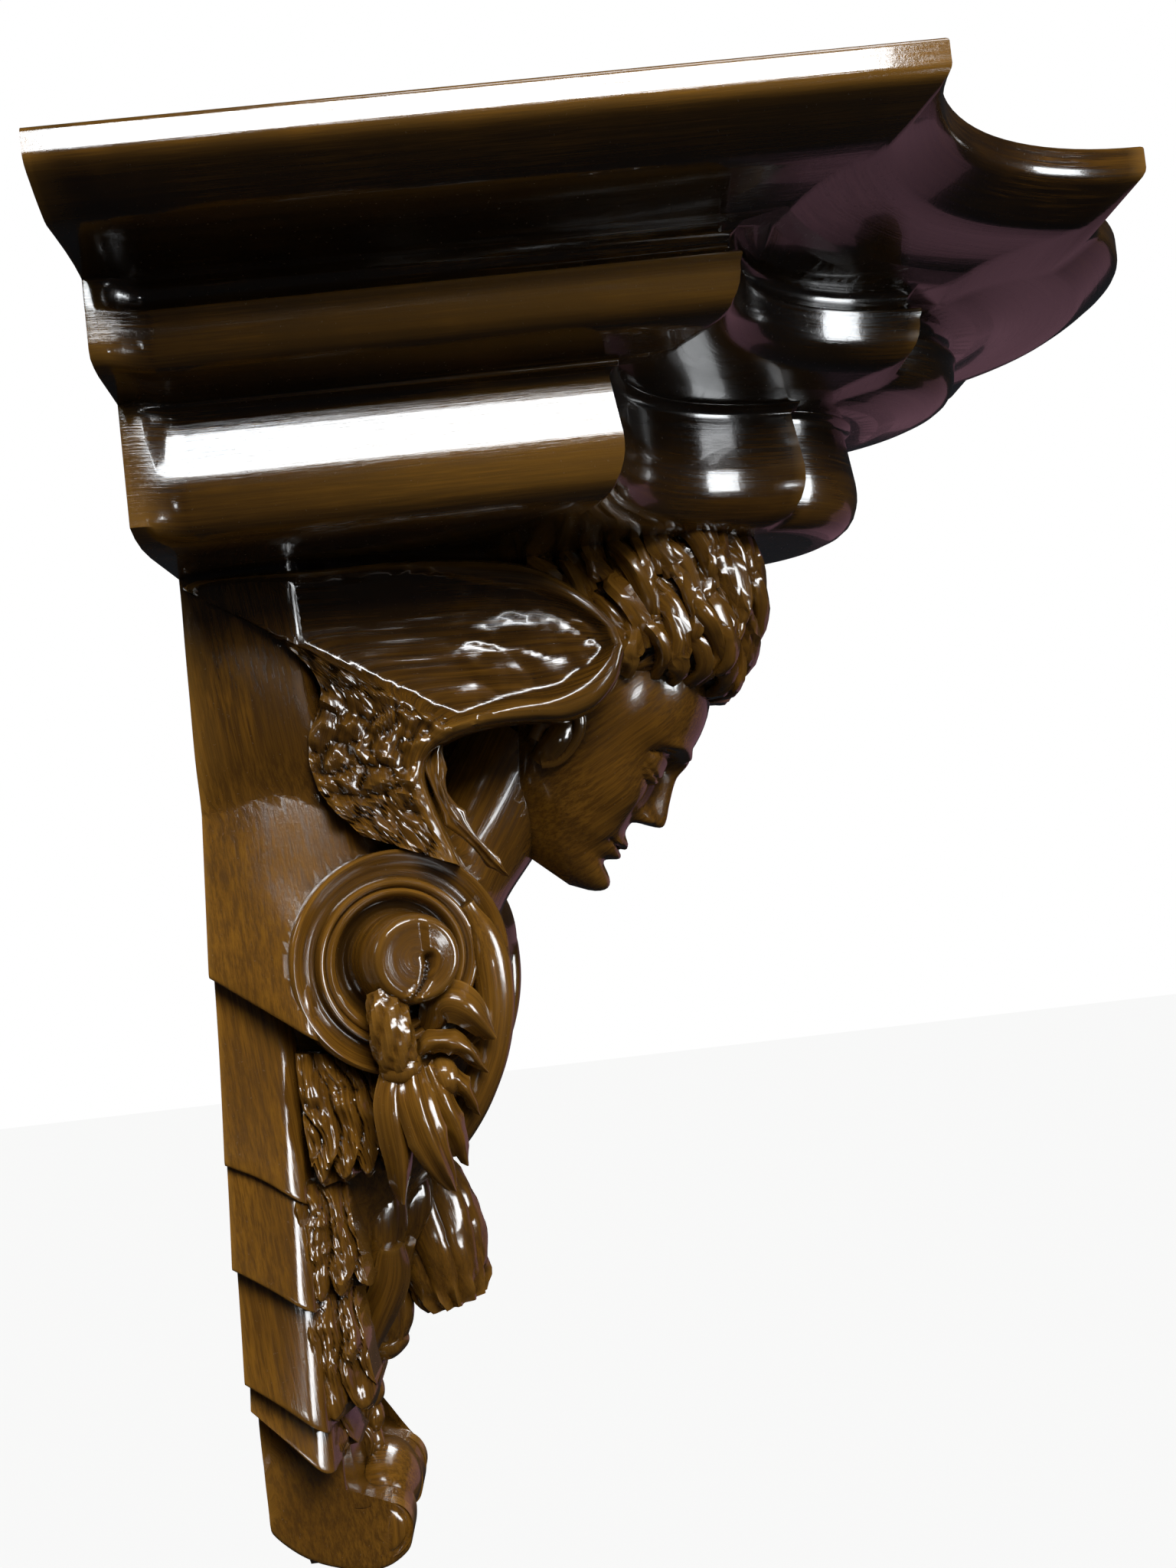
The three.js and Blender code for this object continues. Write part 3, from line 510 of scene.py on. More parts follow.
def face_relief(x, u):
    """Forward relief of the face: nose, closed lids, brows, lips, chin and cheeks as sums of humps."""
    side = np.abs(x)
    ridge = curve((30, 0), (31.5, 5), (33.5, 9.6), (36, 10.2), (42, 7.6), (50, 4.2), (56, 2.4), (62, 0))(u)
    nose = ridge * hump(x, curve((30, 5.6), (35, 5.4), (42, 4.4), (54, 4.2), (62, 7))(u))
    wings_of_nose = 3.4 * hump(side - 6.2, 2.6) * hump(u - 32.8, 3.0)
    nostril = -2.0 * hump(side - 3.6, 1.6) * hump(u - 30.2, 1.1)
    socket = -3.8 * hump(side - 14.5, 9) * hump(u - 51, 7) - 2.4 * hump(side - 6.2, 3) * hump(u - 51.5, 4)
    reach = ((side - 15) / 8.6) ** 2 + ((u - 48.4) / 5.9) ** 2
    ball = 3.9 * np.sqrt(np.clip(1 - reach, 0, 1))
    lid_window = ease(9.2, 7.4, np.abs(side - 15))
    lid_line = -1.0 * hump(u - (45.6 + 0.028 * (side - 15) ** 2), 0.55) * lid_window
    lid_fold = -0.9 * hump(u - (53.4 - 0.03 * (side - 15) ** 2), 0.7) * lid_window
    brow = 2.2 * hump(u - (58.6 - 0.018 * (side - 13) ** 2), 2.6) * ease(2, 6, side) * ease(27, 19, side)
    philtrum = -0.6 * hump(x, 1.6) * hump(u - 26, 2.4)
    upper_lip = 3.0 * hump(x, 9) * hump(u - (22.4 - 0.9 * hump(x, 1.6) - 0.012 * x**2), 1.9)
    lower_lip = 3.1 * hump(x, 7.6) * hump(u - 17.2, 2.2)
    mouth_line = -1.7 * hump(u - (19.9 - 0.5 * hump(x, 2) + 0.004 * x**2), 0.6) * ease(13.5, 10.5, side)
    corner = -1.3 * hump(side - 12.4, 2.4) * hump(u - 19.6, 2.4)
    under_lip = -1.5 * hump(x, 8) * hump(u - 12.9, 1.8)
    chin_boss = 2.6 * hump(x, 8) * hump(u - 7, 4.6)
    cheek = 2.2 * hump(side - 20, 8.5) * hump(u - 36, 9)
    return (nose + wings_of_nose + nostril + socket + ball + lid_line + lid_fold + brow + philtrum
            + upper_lip + lower_lip + mouth_line + corner + under_lip + chin_boss + cheek)


def add_head():
    """Level rings, rounder behind than in front, with more points on the face, raised by its relief."""
    u = np.concatenate([np.linspace(0, 12, 12), np.linspace(12.7, 62, 70), np.linspace(64, 86, 8)])[:, None]
    even = np.linspace(0, 2 * np.pi, 124, endpoint=False)[None, :]
    a = even - 0.3 * np.sin(2 * even) - 0.34 * np.sin(even)
    x = head_half(u) * np.sign(np.sin(a)) * np.abs(np.sin(a)) ** 0.92
    facing = np.cos(a) > 0
    reach = np.where(facing, head_front(u) - HEAD_AXIS, HEAD_AXIS - head_back(u))
    n = HEAD_AXIS + reach * np.sign(np.cos(a)) * np.abs(np.cos(a)) ** 0.85
    n = n + np.where(facing, face_relief(x, u) * ease(0.04, 0.42, np.cos(a)), 0)
    p = head_place(x, n, np.broadcast_to(u, x.shape))
    along_face = head_place(0, 0.35, 1) - head_place(0, 0, 0)
    add_form(below_shelf(p), brushed(p, along_face))


add_head()


def path_frame(points, steps, face):
    """Steps along a smooth line: share, place, side square to face, outward way and length run so far."""
    knots = np.array(points, float)
    t = np.linspace(0, 1, steps)
    path = np.stack([through(knots[:, k])(t) for k in range(3)], axis=-1)
    along = np.gradient(path, axis=0)
    along /= np.linalg.norm(along, axis=-1, keepdims=True)
    side = np.cross(along, np.array(face, float))
    side /= np.maximum(np.linalg.norm(side, axis=-1, keepdims=True), 1e-6)
    out = np.cross(side, along)
    run = np.concatenate([[0], np.cumsum(np.linalg.norm(np.diff(path, axis=0), axis=-1))])
    return t[:, None], path[:, None], side[:, None], out[:, None], run[:, None]


def tube(points, radius, sides, steps, flute=0, depth=0.0, twist=0.0, flat=1.0, face=(-1, 0, 0)):
    """A round or fluted section carried along a smooth line; radius is a function of 0 to 1."""
    t, path, side, out, run = path_frame(points, steps, face)
    a = np.linspace(0, 2 * np.pi, sides, endpoint=False)[None, :]
    grooves = ribs(flute * (a / np.pi) / 2 + twist * t, 0.7) - 0.6 if flute else 0
    r = radius(t) * (1 + depth * grooves)
    p = path + side * (r * np.cos(a))[..., None] + out * (flat * r * np.sin(a))[..., None]
    brush = np.stack(np.broadcast_arrays(r * np.cos(a), r * np.sin(a), run), axis=-1)
    return p, brush


def add_tube(*shape, **more):
    """A tube below the shelf and its mirror image."""
    p, brush = tube(*shape, **more)
    add_form(below_shelf(p), brush, mirror=True)


def taper(thick, root=0.35, swell=0.12):
    """Radius that starts at a share of thick, swells and comes to a small end."""
    return lambda t: thick * (root + (1 - root) * np.sin(np.pi * np.minimum(swell + t * 0.82, 1)))


def add_ears():
    """A curled rim with a smaller fold inside it and a lobe, half hidden under the hair."""
    rim = []
    for a in np.linspace(-0.5, 4.5, 9):
        rim.append(head_place(-(34.0 + 1.6 * math.sin(a)), -41 - 6.0 * math.cos(a), 37 + 10 * math.sin(a)))
    add_tube(rim, lambda t: 2.5 - 0.5 * t, 10, 30)
    fold = [head_place(-34.6, -37.5 - 3 * k, 33 + 6.5 * math.sin(0.8 * k + 0.2)) for k in range(4)]
    add_tube(fold, lambda t: 1.7 - 0.6 * t, 8, 16)
    pit = [head_place(-30, -41, 28), head_place(-33.5, -40, 36), head_place(-31, -41, 45)]
    add_tube(pit, taper(5.0, 0.6), 10, 14)


add_ears()

# Hair: a thick cap drawn back from the brow in heavy wavy locks, rising to the shelf's underside,
# with a rosette curl above the temple.
hair_spread = curve((50, 0.97), (66, 1.06), (80, 1.13), (130, 1.1))
hair_half = curve((50, 32), (66, 37), (80, 41), (96, 43), (110, 41), (122, 34), (130, 24))
hair_front = curve((50, -36), (64, -28), (74, -15), (84, -4), (94, -4), (104, -7), (114, -11), (124, -17),
                   (130, -27))


def hair_reach(a, u):
    """How far the cap stands from the head's axis at turn a from the front, in radians, and height u."""
    behind = (HEAD_AXIS - head_back(np.minimum(u, 84))) * hair_spread(u)
    return np.where(np.cos(a) > 0, hair_front(u) - HEAD_AXIS, behind)


def add_hair_cap():
    """Rings over the skull whose surface is grooved by locks that sway as they run back."""
    u = np.linspace(50, 130, 34)[:, None]
    a = np.linspace(0, 2 * np.pi, 110, endpoint=False)[None, :]
    sway = 0.5 * np.sin(u * 0.16 + 3 * a) + 0.35 * np.sin(u * 0.31 - 5 * a)
    groove = ribs(u * 0.085 + 1.6 * np.cos(a) + sway, 0.6)
    fine = ribs(u * 0.34 + 6.4 * np.cos(a) + 4 * sway, 0.8)
    wave = 0.97 + 0.055 * groove + 0.02 * fine
    x = hair_half(u) * wave * np.sin(a)
    n = HEAD_AXIS + hair_reach(a, u) * wave * np.cos(a)
    p = head_place(x, n, np.broadcast_to(u, x.shape))
    brush = np.stack(np.broadcast_arrays(40 * a, 11.0, u), axis=-1)
    add_form(below_shelf(p), brush)


def on_cap(a, u, lift=0.0):
    """A point of the hair's surface at turn a and height u, raised by lift."""
    grow = 1 + lift / 40
    n = HEAD_AXIS + hair_reach(a, u) * grow * np.cos(a)
    return head_place(-hair_half(u) * grow * np.sin(a), n, u)


def add_locks():
    """Rows of wavy fluted locks laid back over the cap from the hairline, then the curl at the temple."""
    t = np.linspace(0, 1, 12)
    for row in range(4):
        count = 15 - row
        for i in range(count):
            share = i / (count - 1)
            seed = 2.4 * i + 1.7 * row
            a = math.radians(mix(4, 112, share) + 7 * row + 3 * math.sin(seed))
            u = mix(80, 57, share**1.2) + 10.5 * row + 2.0 * math.sin(seed * 1.9)
            wave = np.sin(2 * np.pi * 1.1 * t + seed)
            turn = a + (0.72 + 0.14 * math.sin(seed * 1.3)) * t + 0.07 * wave
            rise = u + (21 - 5 * share) * t + 2.2 * np.cos(2 * np.pi * t + seed) * np.sin(np.pi * t)
            height = 2.6 + 1.4 * math.sin(seed * 2.3)
            lift = 0.4 + height * np.sin(np.pi * np.minimum(t + 0.1, 1)) - 2.4 * t**3
            thick = 3.3 + 0.7 * math.sin(seed * 1.7)
            p, brush = tube(on_cap(turn, rise, lift), taper(thick, 0.45), 10, 15, flute=3, depth=0.42,
                            twist=1.8 * math.sin(seed * 1.1))
            p = p + 0.4 * lumps(p, 4.0, seed)[..., None]
            add_form(below_shelf(p), brush, mirror=True)
    turns = np.linspace(0, 1, 26)
    a = turns * 3.2 * np.pi
    r = 7.0 * (1 - 0.8 * turns)
    coil = head_place(-(32 + 8.0 * turns), -18 + r * np.cos(a) * 0.85, 96 + r * np.sin(a))
    add_tube(coil, lambda t: 2.8 - t, 12, 80, flute=2, depth=0.3, twist=2.0)


add_hair_cap()
add_locks()


# Neck and breast: a smooth column from the console's top up into the head.
# It is cast with both and meets them without a seam.
def add_neck():
    """Ellipses carried up a bent line, tilting towards the head as they rise."""
    t = np.linspace(0, 1, 26)[:, None]
    a = np.linspace(0, 2 * np.pi, 56, endpoint=False)[None, :]
    forward = curve((0, 34), (0.25, 27), (0.5, 23), (1, 22))(t) * np.cos(a)
    tilt = mix(0.2, 0.75, t)
    y = curve((0, 48), (0.35, 62), (0.7, 82), (1, 98))(t) + forward * np.cos(tilt)
    d = curve((0, 120), (0.35, 103), (0.7, 80), (1, 56))(t) + forward * np.sin(tilt)
    x = curve((0, 46), (0.2, 40), (0.45, 29), (0.75, 26), (1, 26))(t) * np.sin(a)
    p = np.stack([x, -y, -d], axis=-1)
    add_form(below_shelf(p), brushed(p, (0, -0.6, 1)))


add_neck()


# Cut leaves, petals and husks: blades with a raised middle, side ribs and notched edges.
# The underside of each is sunk into the form behind it.
BLADE_STEPS = 24


def add_blade(points, width, thick, face, ribs_across, notches=0.0):
    """Section across a path: crowned, ribbed and crumpled, as wide as a rounded taper allows."""
    t, path, across, out, run = path_frame(points, BLADE_STEPS, face)
    spread = width * (0.12 + 0.88 * np.sin(np.pi * np.minimum(0.16 + 0.78 * t, 1)) ** 0.8)
    spread = spread * (1 - 0.22 * notches * np.abs(np.sin(np.pi * 3.5 * t)) ** 0.5)
    s = np.linspace(-1, 1, 17)[None, :]
    under_s = s[:, 3:-3:3]
    ridge = 0.22 * np.cos(np.pi * ribs_across * s * (1 + 0.3 * t)) ** 2
    crown = thick * (1 - 0.75 * s**2 + ridge)
    top = path + across * (spread * s)[..., None] + out * crown[..., None]
    crumple = 0.5 * notches * lumps(top, 4.2, width)
    top = top + out * crumple[..., None]
    under = path + across * (spread * under_s * 0.7)[..., None] - out * thick
    p = np.concatenate([top, under[:, ::-1]], axis=1)
    sides = np.concatenate([width * s, width * under_s[:, ::-1]], axis=1)
    brush = np.stack(np.broadcast_arrays(sides, thick, run), axis=-1)
    add_form(below_shelf(p), brush, mirror=True)


# A narrow ruffled strip fills the inner edge of the wing's hollow, beside the neck.
# It is a single notched blade that follows the edge down to the breast.
add_blade([(-49, -75, -52), (-53, -71.5, -61), (-54, -71.5, -72), (-52, -76, -83), (-49, -83, -93),
           (-45, -88, -100)], 5.0, 4.0, (-1, -0.25, 0), 1.0, 2.6)

# Husk pendants under the volutes' eyes: a calyx, a tie, long petals and a curled leaf beside them.
# All are cast with the console; each petal has its path, half width, thickness, ribs and notches.
SIDE_FACE = (-0.94, -0.34, 0)
PETALS = [
    ([(-66, -50, -152), (-72, -48.5, -164), (-69, -49, -178), (-62, -47.5, -191)], 5.4, 4.4, 0.5, 0.3),
    ([(-66, -54, -152), (-72, -56, -164), (-70, -59, -177), (-62, -62, -189)], 6.8, 5.0, 1.0, 0.5),
    ([(-62, -60, -156), (-65, -63, -164), (-62, -66, -174), (-56, -67, -184)], 4.6, 3.6, 0.5, 0.9),
    ([(-60, -62, -142), (-65, -67, -136), (-66, -73, -138), (-60, -78.5, -147)], 6.6, 4.6, 0.5, 0.0),
    ([(-61, -58, -149), (-65, -63, -147), (-64, -70, -149), (-57, -75, -157)], 4.6, 4.0, 0.5, 1.2),
    ([(-62, -61, -155), (-63, -66, -157), (-60, -70, -163), (-55, -72, -170)], 4.0, 3.2, 0.5, 1.6),
]


def add_husks():
    """A fluted calyx, its tie and petals, then a berry and the curled band of the breast beside them."""
    calyx = [(-72, -50.5, -131), (-75, -51.5, -139), (-73, -52, -148), (-70, -53, -153)]
    add_tube(calyx, lambda t: 5.0 + 1.1 * np.sin(np.pi * t), 22, 28, flute=6, depth=0.3, twist=2.4)
    tie = [(-71, -52.5, -150), (-70.5, -52.8, -152.5), (-69.5, -53, -155)]
    add_tube(tie, lambda t: 5.6 + 0.9 * np.sin(np.pi * t), 18, 12)
    for path, width, thick, ribs_across, notches in PETALS:
        add_blade(path, width, thick, SIDE_FACE, ribs_across, notches)
    berry = [(-60, -64, -154), (-64, -65, -158), (-61, -66, -163)]
    add_tube(berry, taper(4.4, 0.5), 14, 14)
    band = [(-57, -76.5, -108), (-55.5, -80, -116), (-54, -81.8, -127), (-53, -81.6, -140),
            (-52, -78.6, -153), (-50, -73.2, -165), (-47, -67.5, -174), (-42, -61, -182)]
    add_tube(band, lambda t: 2.5 + 4.2 * ease(0, 0.3, t) - 1.4 * t, 22, 60, flat=0.8, face=SIDE_FACE)


add_husks()

# Acanthus sprays in front of the smooth leaves: crumpled, deeply ribbed tufts, one above another.
# Each is a folded sheet whose back is sunk into the console.
SPRAYS = [
    dict(top=146, foot=186, y=24.5, x=68, depth=22, seed=1.0, lobes=5),
    dict(top=184, foot=220, y=21, x=69, depth=13, seed=2.0, lobes=3),
    dict(top=214, foot=255, y=20.5, x=68, depth=13, seed=3.0, lobes=3),
    dict(top=246, foot=269, y=17.5, x=62, depth=8, seed=4.0, lobes=2),
]


def add_sprays():
    """A sheet folded into soft ridges that fan down from the top, with a scalloped, rolled lower edge."""
    for row in SPRAYS:
        v = np.concatenate([np.linspace(0, 0.9, 24), np.linspace(0.93, 1.0, 8)])[:, None]
        s = np.linspace(0, 1, 13 * row["lobes"])[None, :]
        fan = s * row["lobes"]
        around = np.stack(np.broadcast_arrays(row["depth"] * s, 40.0 * v, row["seed"] * 9.0), axis=-1)
        bend = 0.25 * np.sin(5 * v + row["seed"] + 2.2 * s) + 0.55 * lumps(around, 14.0, row["seed"])
        ridge = ribs(0.75 * fan + bend, 0.6)
        fine = ribs(2.3 * fan + 3 * bend, 0.8)
        scallop = 7.0 * ridge * ease(0.3, 1.0, v)
        drop = mix(row["top"], row["foot"] - 7.0, v) + scallop * v + 3.5 * s * (1 - v)
        y = row["y"] + row["depth"] * s * (1 + 0.12 * v) - 3.0 * (1 - v)
        swell = np.sin(np.pi * np.minimum(0.12 + 0.76 * v, 1)) ** 0.7
        roll = 2.4 * ease(0.72, 0.92, v) - 5.0 * ease(0.94, 1.0, v)
        x = row["x"] - 13.0 * s**1.3 + 3.6 * ridge * swell + 0.9 * fine * swell
        x = x - 6.0 * (1 - swell) + roll
        flat = np.stack(np.broadcast_arrays(y, drop, row["seed"] * 9.0), axis=-1)
        folds = np.abs(lumps(flat * [1.0, 0.6, 1.0] + 2.0 * bend[..., None], 5.5, row["seed"]))
        x = x + 4.2 * folds * swell - 1.2 + 0.6 * lumps(flat, 2.4, row["seed"])
        face = np.stack(np.broadcast_arrays(-x, -y, -drop), axis=-1)
        back = face[:, ::-6].copy()
        back[..., 0] += 18
        p = np.concatenate([face, back], axis=1)
        brush = np.stack(np.broadcast_arrays(30 * s, 4.0, 40 * v), axis=-1)
        brush = np.concatenate([brush, brush[:, ::-6]], axis=1)
        add_form(below_shelf(p), brush, mirror=True)


add_sprays()


# Fruit drop down the middle: ribbed pods, a leaf either side, a bud in its cup and a beaded stem.
# Each is a fluted solid on a short axis, and the cup and the largest pod end in a ruffled crown.
def add_pod(top, foot, radius, flutes, crown=0.0, mirror=False, groove=0.08):
    """Fluted section swelling from a narrow top to a full body, with a ruffled crown at the foot."""
    t = np.linspace(0, 1, 27)[:, None]
    a = np.linspace(0, 2 * np.pi, flutes * 7, endpoint=False)[None, :]
    top, foot = np.array(top, float), np.array(foot, float)
    axis = foot - top
    across = np.array([1.0, 0, 0])
    out = np.cross(axis, across)
    out /= np.linalg.norm(out)
    r = radius * np.sin(np.pi * (0.07 + 0.83 * t)) ** 0.6
    r = r * (1 - groove + groove * ribs(flutes * a / (2 * np.pi), 0.35))
    r = r * (1 + 0.02 * np.sin(5 * a + 9 * t))
    ruffle = crown * ease(0.8, 0.93, t) * (0.45 + 0.55 * np.sin(flutes * 1.5 * a + 6 * t))
    r = r + radius * ruffle
    p = top + axis * t[..., None] + across * (r * np.cos(a))[..., None] + out * (r * np.sin(a))[..., None]
    p = p + (4.0 * crown * lumps(p, 5.0, radius))[..., None] * out
    add_form(below_shelf(p), brushed(p, axis), mirror=mirror)


def add_fruit():
    """The drop from the breast down to the foot."""
    add_pod((0, -44, -186), (-1, -56, -240), 17.4, 9, crown=0.15)
    add_pod((-27, -36, -184), (-27, -33, -221), 11.5, 6, mirror=True)
    add_pod((-14, -46, -188), (-15, -42, -216), 9.0, 5, mirror=True)
    add_blade([(-34, -40, -212), (-30, -38, -224), (-24, -31, -238), (-16, -23, -254)], 7, 3.2,
              (-0.9, -0.5, 0), 0.5)
    add_blade([(-20, -44, -214), (-15, -40, -224), (-9, -33, -236), (-5, -25, -252)], 4.4, 3,
              (-0.8, -0.6, 0), 0.5)
    add_pod((0, -31, -224), (0, -30, -253), 11.5, 8, crown=0.06)
    add_pod((0, -30, -244), (0, -30, -256), 9.0, 3, groove=0.05)
    for i in range(4):
        bead_top = (0, -25 + 0.6 * i, -(252 + 8.5 * i))
        bead_foot = (0, -24.5 + 0.6 * i, -(263 + 8.5 * i))
        add_pod(bead_top, bead_foot, 5.4 - 0.3 * i, 4)
    for i in range(3):
        line = [(-6 - i, -20, -(252 + 11 * i)), (-7, -23, -(258 + 11 * i)), (-5, -21, -(266 + 11 * i))]
        add_blade(line, 2.6, 2.2, (-0.9, -0.4, 0), 1, 0.8)


add_fruit()


# Foot: the console's tail sweeps down its flank and forward into a roll at each side of a larger one.
# The side rolls end in a flat disc with a sunk ring round it.
FOOT_OUTLINE = [
    (-4, 238), (8, 240), (17, 246), (20, 256), (20.5, 268), (20.5, 280), (22, 288), (25.5, 290.5),
    (30, 291.2), (34.5, 294), (36.8, 298.5), (36.8, 304), (35, 308.5), (30, 311), (24, 309.5), (16, 304),
    (8, 297), (2, 289.5), (-1.5, 283), (-4, 276),
]


def add_foot():
    """The outline in y and d carried across x, shrunk at its outer end to a rounded edge."""
    outline = np.array(FOOT_OUTLINE + FOOT_OUTLINE[:1], float)
    s = np.linspace(0, 1, 80, endpoint=False)
    y, d = (through(outline[:, k])(s) for k in range(2))
    middle = np.array([16.0, 277.0])
    shrink = np.array([1, 1, 1, 1, 1, 0.985, 0.955, 0.91, 0.86, 0.7, 0.5, 0.25])[:, None]
    reach = np.array([0, 0.3, 0.6, 0.85, 0.93, 0.97, 0.99, 1.0, 1.0, 1.0, 1.0, 1.0])[:, None]
    yy = middle[0] + (y - middle[0]) * shrink
    dd = middle[1] + (d - middle[1]) * shrink
    outer = curve((0, 64), (12, 55), (24, 43), (32, 34.5), (40, 31.5))(yy) - 0.1 * np.maximum(dd - 270, 0)
    x = mix(12.0, outer, reach)
    p = np.stack([-x, -yy, -dd], axis=-1)
    add_form(below_shelf(p), brushed(p, (0, 0.3, 1)), mirror=True)
    disc = np.array([(8.5, 6), (8.5, 0.4), (8.2, -0.3), (7.4, -0.8), (6.8, -0.4), (6.4, 0.8), (6.0, 1.3),
                     (4.5, 1.5), (2.5, 1.6), (0.8, 1.6)])
    a = np.linspace(0, 2 * np.pi, 40, endpoint=False)[None, :]
    r, h = disc[:, :1], disc[:, 1:]
    inward = np.where(h > 5, -5.0, h)
    x = -32.0 - inward + 0.32 * r * np.cos(a)
    p = np.stack(np.broadcast_arrays(x, -29 - r * np.cos(a), -300 - r * np.sin(a)), axis=-1)
    add_form(below_shelf(p), brushed(p, (0, 0, 1)), mirror=True)
    ends = curve((0, 0.3), (0.03, 0.55), (0.08, 0.72), (0.2, 0.86), (0.5, 1.0), (0.8, 0.86), (0.92, 0.72),
                 (0.97, 0.55), (1, 0.3))
    line = [(mix(-20, 20, s), -25.5, -296.5) for s in np.linspace(0, 1, 5)]
    p, brush = tube(line, lambda t: 12.6 * ends(t), 40, 32, face=(0, -1, 0))
    add_form(below_shelf(p), brush[..., [2, 0, 1]])


add_foot()


# Casting: all forms are fused into one closed skin, cut flat at the wall.
# The streaks' coordinates come through the fusing, and how hollow each place is, is worked out after it.
WALL_BLOCK = (400.0, 300.0, 600.0)  # half width, depth and half height of what is cut off behind the wall
CREASE = math.radians(48)


def keep_values(mesh, name, kind, key, values):
    """Puts values, one row for each vertex, in a named attribute."""
    mesh.attributes.new(name, kind, "POINT").data.foreach_set(key, values.astype(np.float32).ravel())


def read_values(items, key, width=1, kind=np.float32):
    """The key of all items as an array, in rows of width."""
    values = np.zeros(len(items) * width, kind)
    items.foreach_get(key, values)
    return values.reshape(-1, width) if width > 1 else values


def mesh_of(points, faces, paint, name):
    """A mesh in metres that carries the streak coordinates and a mark on each vertex."""
    mesh = bpy.data.meshes.new(name)
    mesh.from_pydata((points * MM).tolist(), [], faces.tolist())
    keep_values(mesh, "brush", "FLOAT_VECTOR", "vector", paint)
    keep_values(mesh, "kept", "FLOAT", "value", np.ones(len(points)))
    return mesh


def fuse_forms():
    """The union of the forms, less a block behind the wall plane."""
    fused = bpy.data.objects.new("fused", mesh_of(*forms[0], "fused"))
    bpy.context.scene.collection.objects.link(fused)
    rest = bpy.data.collections.new("forms")
    for i, form in enumerate(forms[1:]):
        rest.objects.link(bpy.data.objects.new(f"form_{i}", mesh_of(*form, f"form_{i}")))
    union = fused.modifiers.new("union", "BOOLEAN")
    union.operation = "UNION"
    union.operand_type = "COLLECTION"
    union.collection = rest
    union.solver = "MANIFOLD"
    corners = np.array([(-1, 0, -1), (1, 0, -1), (1, 1, -1), (-1, 1, -1),
                        (-1, 0, 1), (1, 0, 1), (1, 1, 1), (-1, 1, 1)]) * WALL_BLOCK
    sides = np.array([(0, 3, 2, 1), (4, 5, 6, 7), (0, 1, 5, 4), (1, 2, 6, 5), (2, 3, 7, 6), (3, 0, 4, 7)])
    block = bpy.data.objects.new("block", mesh_of(corners, sides, np.zeros((8, 3)), "block"))
    cut = fused.modifiers.new("cut", "BOOLEAN")
    cut.operation = "DIFFERENCE"
    cut.object = block
    cut.solver = "MANIFOLD"
    bpy.context.view_layer.update()
    graph = bpy.context.evaluated_depsgraph_get()
    mesh = bpy.data.meshes.new_from_object(fused.evaluated_get(graph))
    for spare in [fused, block, *rest.objects]:
        bpy.data.objects.remove(spare)
    bpy.data.collections.remove(rest)
    return mesh


def drop_pockets(mesh):
    """Takes out the sealed pockets left between the forms: every connected part but the largest."""
    edges = read_values(mesh.edges, "vertices", 2, np.int32)
    part = np.arange(len(mesh.vertices))
    settled = False
    while not settled:
        lower = np.minimum(part[edges[:, 0]], part[edges[:, 1]])
        joined = part.copy()
        np.minimum.at(joined, edges.ravel(), np.repeat(lower, 2))
        joined = joined[joined]
        settled = np.array_equal(joined, part)
        part = joined
    pockets = np.flatnonzero(part != np.bincount(part).argmax())
    shape = bmesh.new()
    shape.from_mesh(mesh)
    shape.verts.ensure_lookup_table()
    bmesh.ops.delete(shape, geom=[shape.verts[i] for i in pockets], context="VERTS")
    shape.to_mesh(mesh)
    shape.free()


def spread_over_edges(values, edges, weights):
    """Mean of the neighbours' values, weighted; where no neighbour has weight the value is nought."""
    total = np.zeros_like(values)
    weight = np.zeros(len(values))
    for a, b in ((0, 1), (1, 0)):
        np.add.at(total, edges[:, a], values[edges[:, b]] * weights[edges[:, b], None])
        np.add.at(weight, edges[:, a], weights[edges[:, b]])
    return total / np.maximum(weight, 1e-6)[:, None], weight


FILL_STEPS = 4  # how far, in edges, the streaks spread into the new points at the joins
HOLLOW_STEPS = 7  # how far, in edges, the shade of a hollow spreads


def finish_mesh(mesh):
    """Fills the streak coordinates at the joins, and marks how deep each point lies in a hollow."""
    count = len(mesh.vertices)
    edges = read_values(mesh.edges, "vertices", 2, np.int32)
    place = read_values(mesh.vertices, "co", 3)
    normal = read_values(mesh.vertex_normals, "vector", 3)
    brush = read_values(mesh.attributes["brush"].data, "vector", 3)
    known = (read_values(mesh.attributes["kept"].data, "value") > 0.99).astype(float)
    for _ in range(FILL_STEPS):
        filled, weight = spread_over_edges(brush, edges, known)
        new = (known < 0.5) & (weight > 0)
        brush[new] = filled[new]
        known[new] = 1
    mesh.attributes["brush"].data.foreach_set("vector", brush.ravel())
    mesh.attributes.remove(mesh.attributes["kept"])
    step = place[edges[:, 1]] - place[edges[:, 0]]
    length = np.maximum(np.linalg.norm(step, axis=-1), 1e-7)
    bend = np.zeros(count)
    for end, way in ((0, 1), (1, -1)):
        np.add.at(bend, edges[:, end], way * np.sum(step * normal[edges[:, end]], axis=-1) / length)
    degree = np.bincount(edges.ravel(), minlength=count)
    near = (bend / np.maximum(degree, 1))[:, None]
    wide = near
    for _ in range(HOLLOW_STEPS):
        wide = spread_over_edges(wide, edges, np.ones(count))[0]
    keep_values(mesh, "hollow", "FLOAT", "value", 0.35 * near + wide)


def cast_corbel():
    """The one casting, in place of the plain solid."""
    mesh = fuse_forms()
    drop_pockets(mesh)
    mesh.name = "corbel_casting"
    finish_mesh(mesh)
    mesh.shade_smooth()
    mesh.set_sharp_from_angle(angle=CREASE)
    corbel = bpy.data.objects.new("corbel_casting", mesh)
    bpy.context.scene.collection.objects.link(corbel)
    return corbel


corbel = cast_corbel()


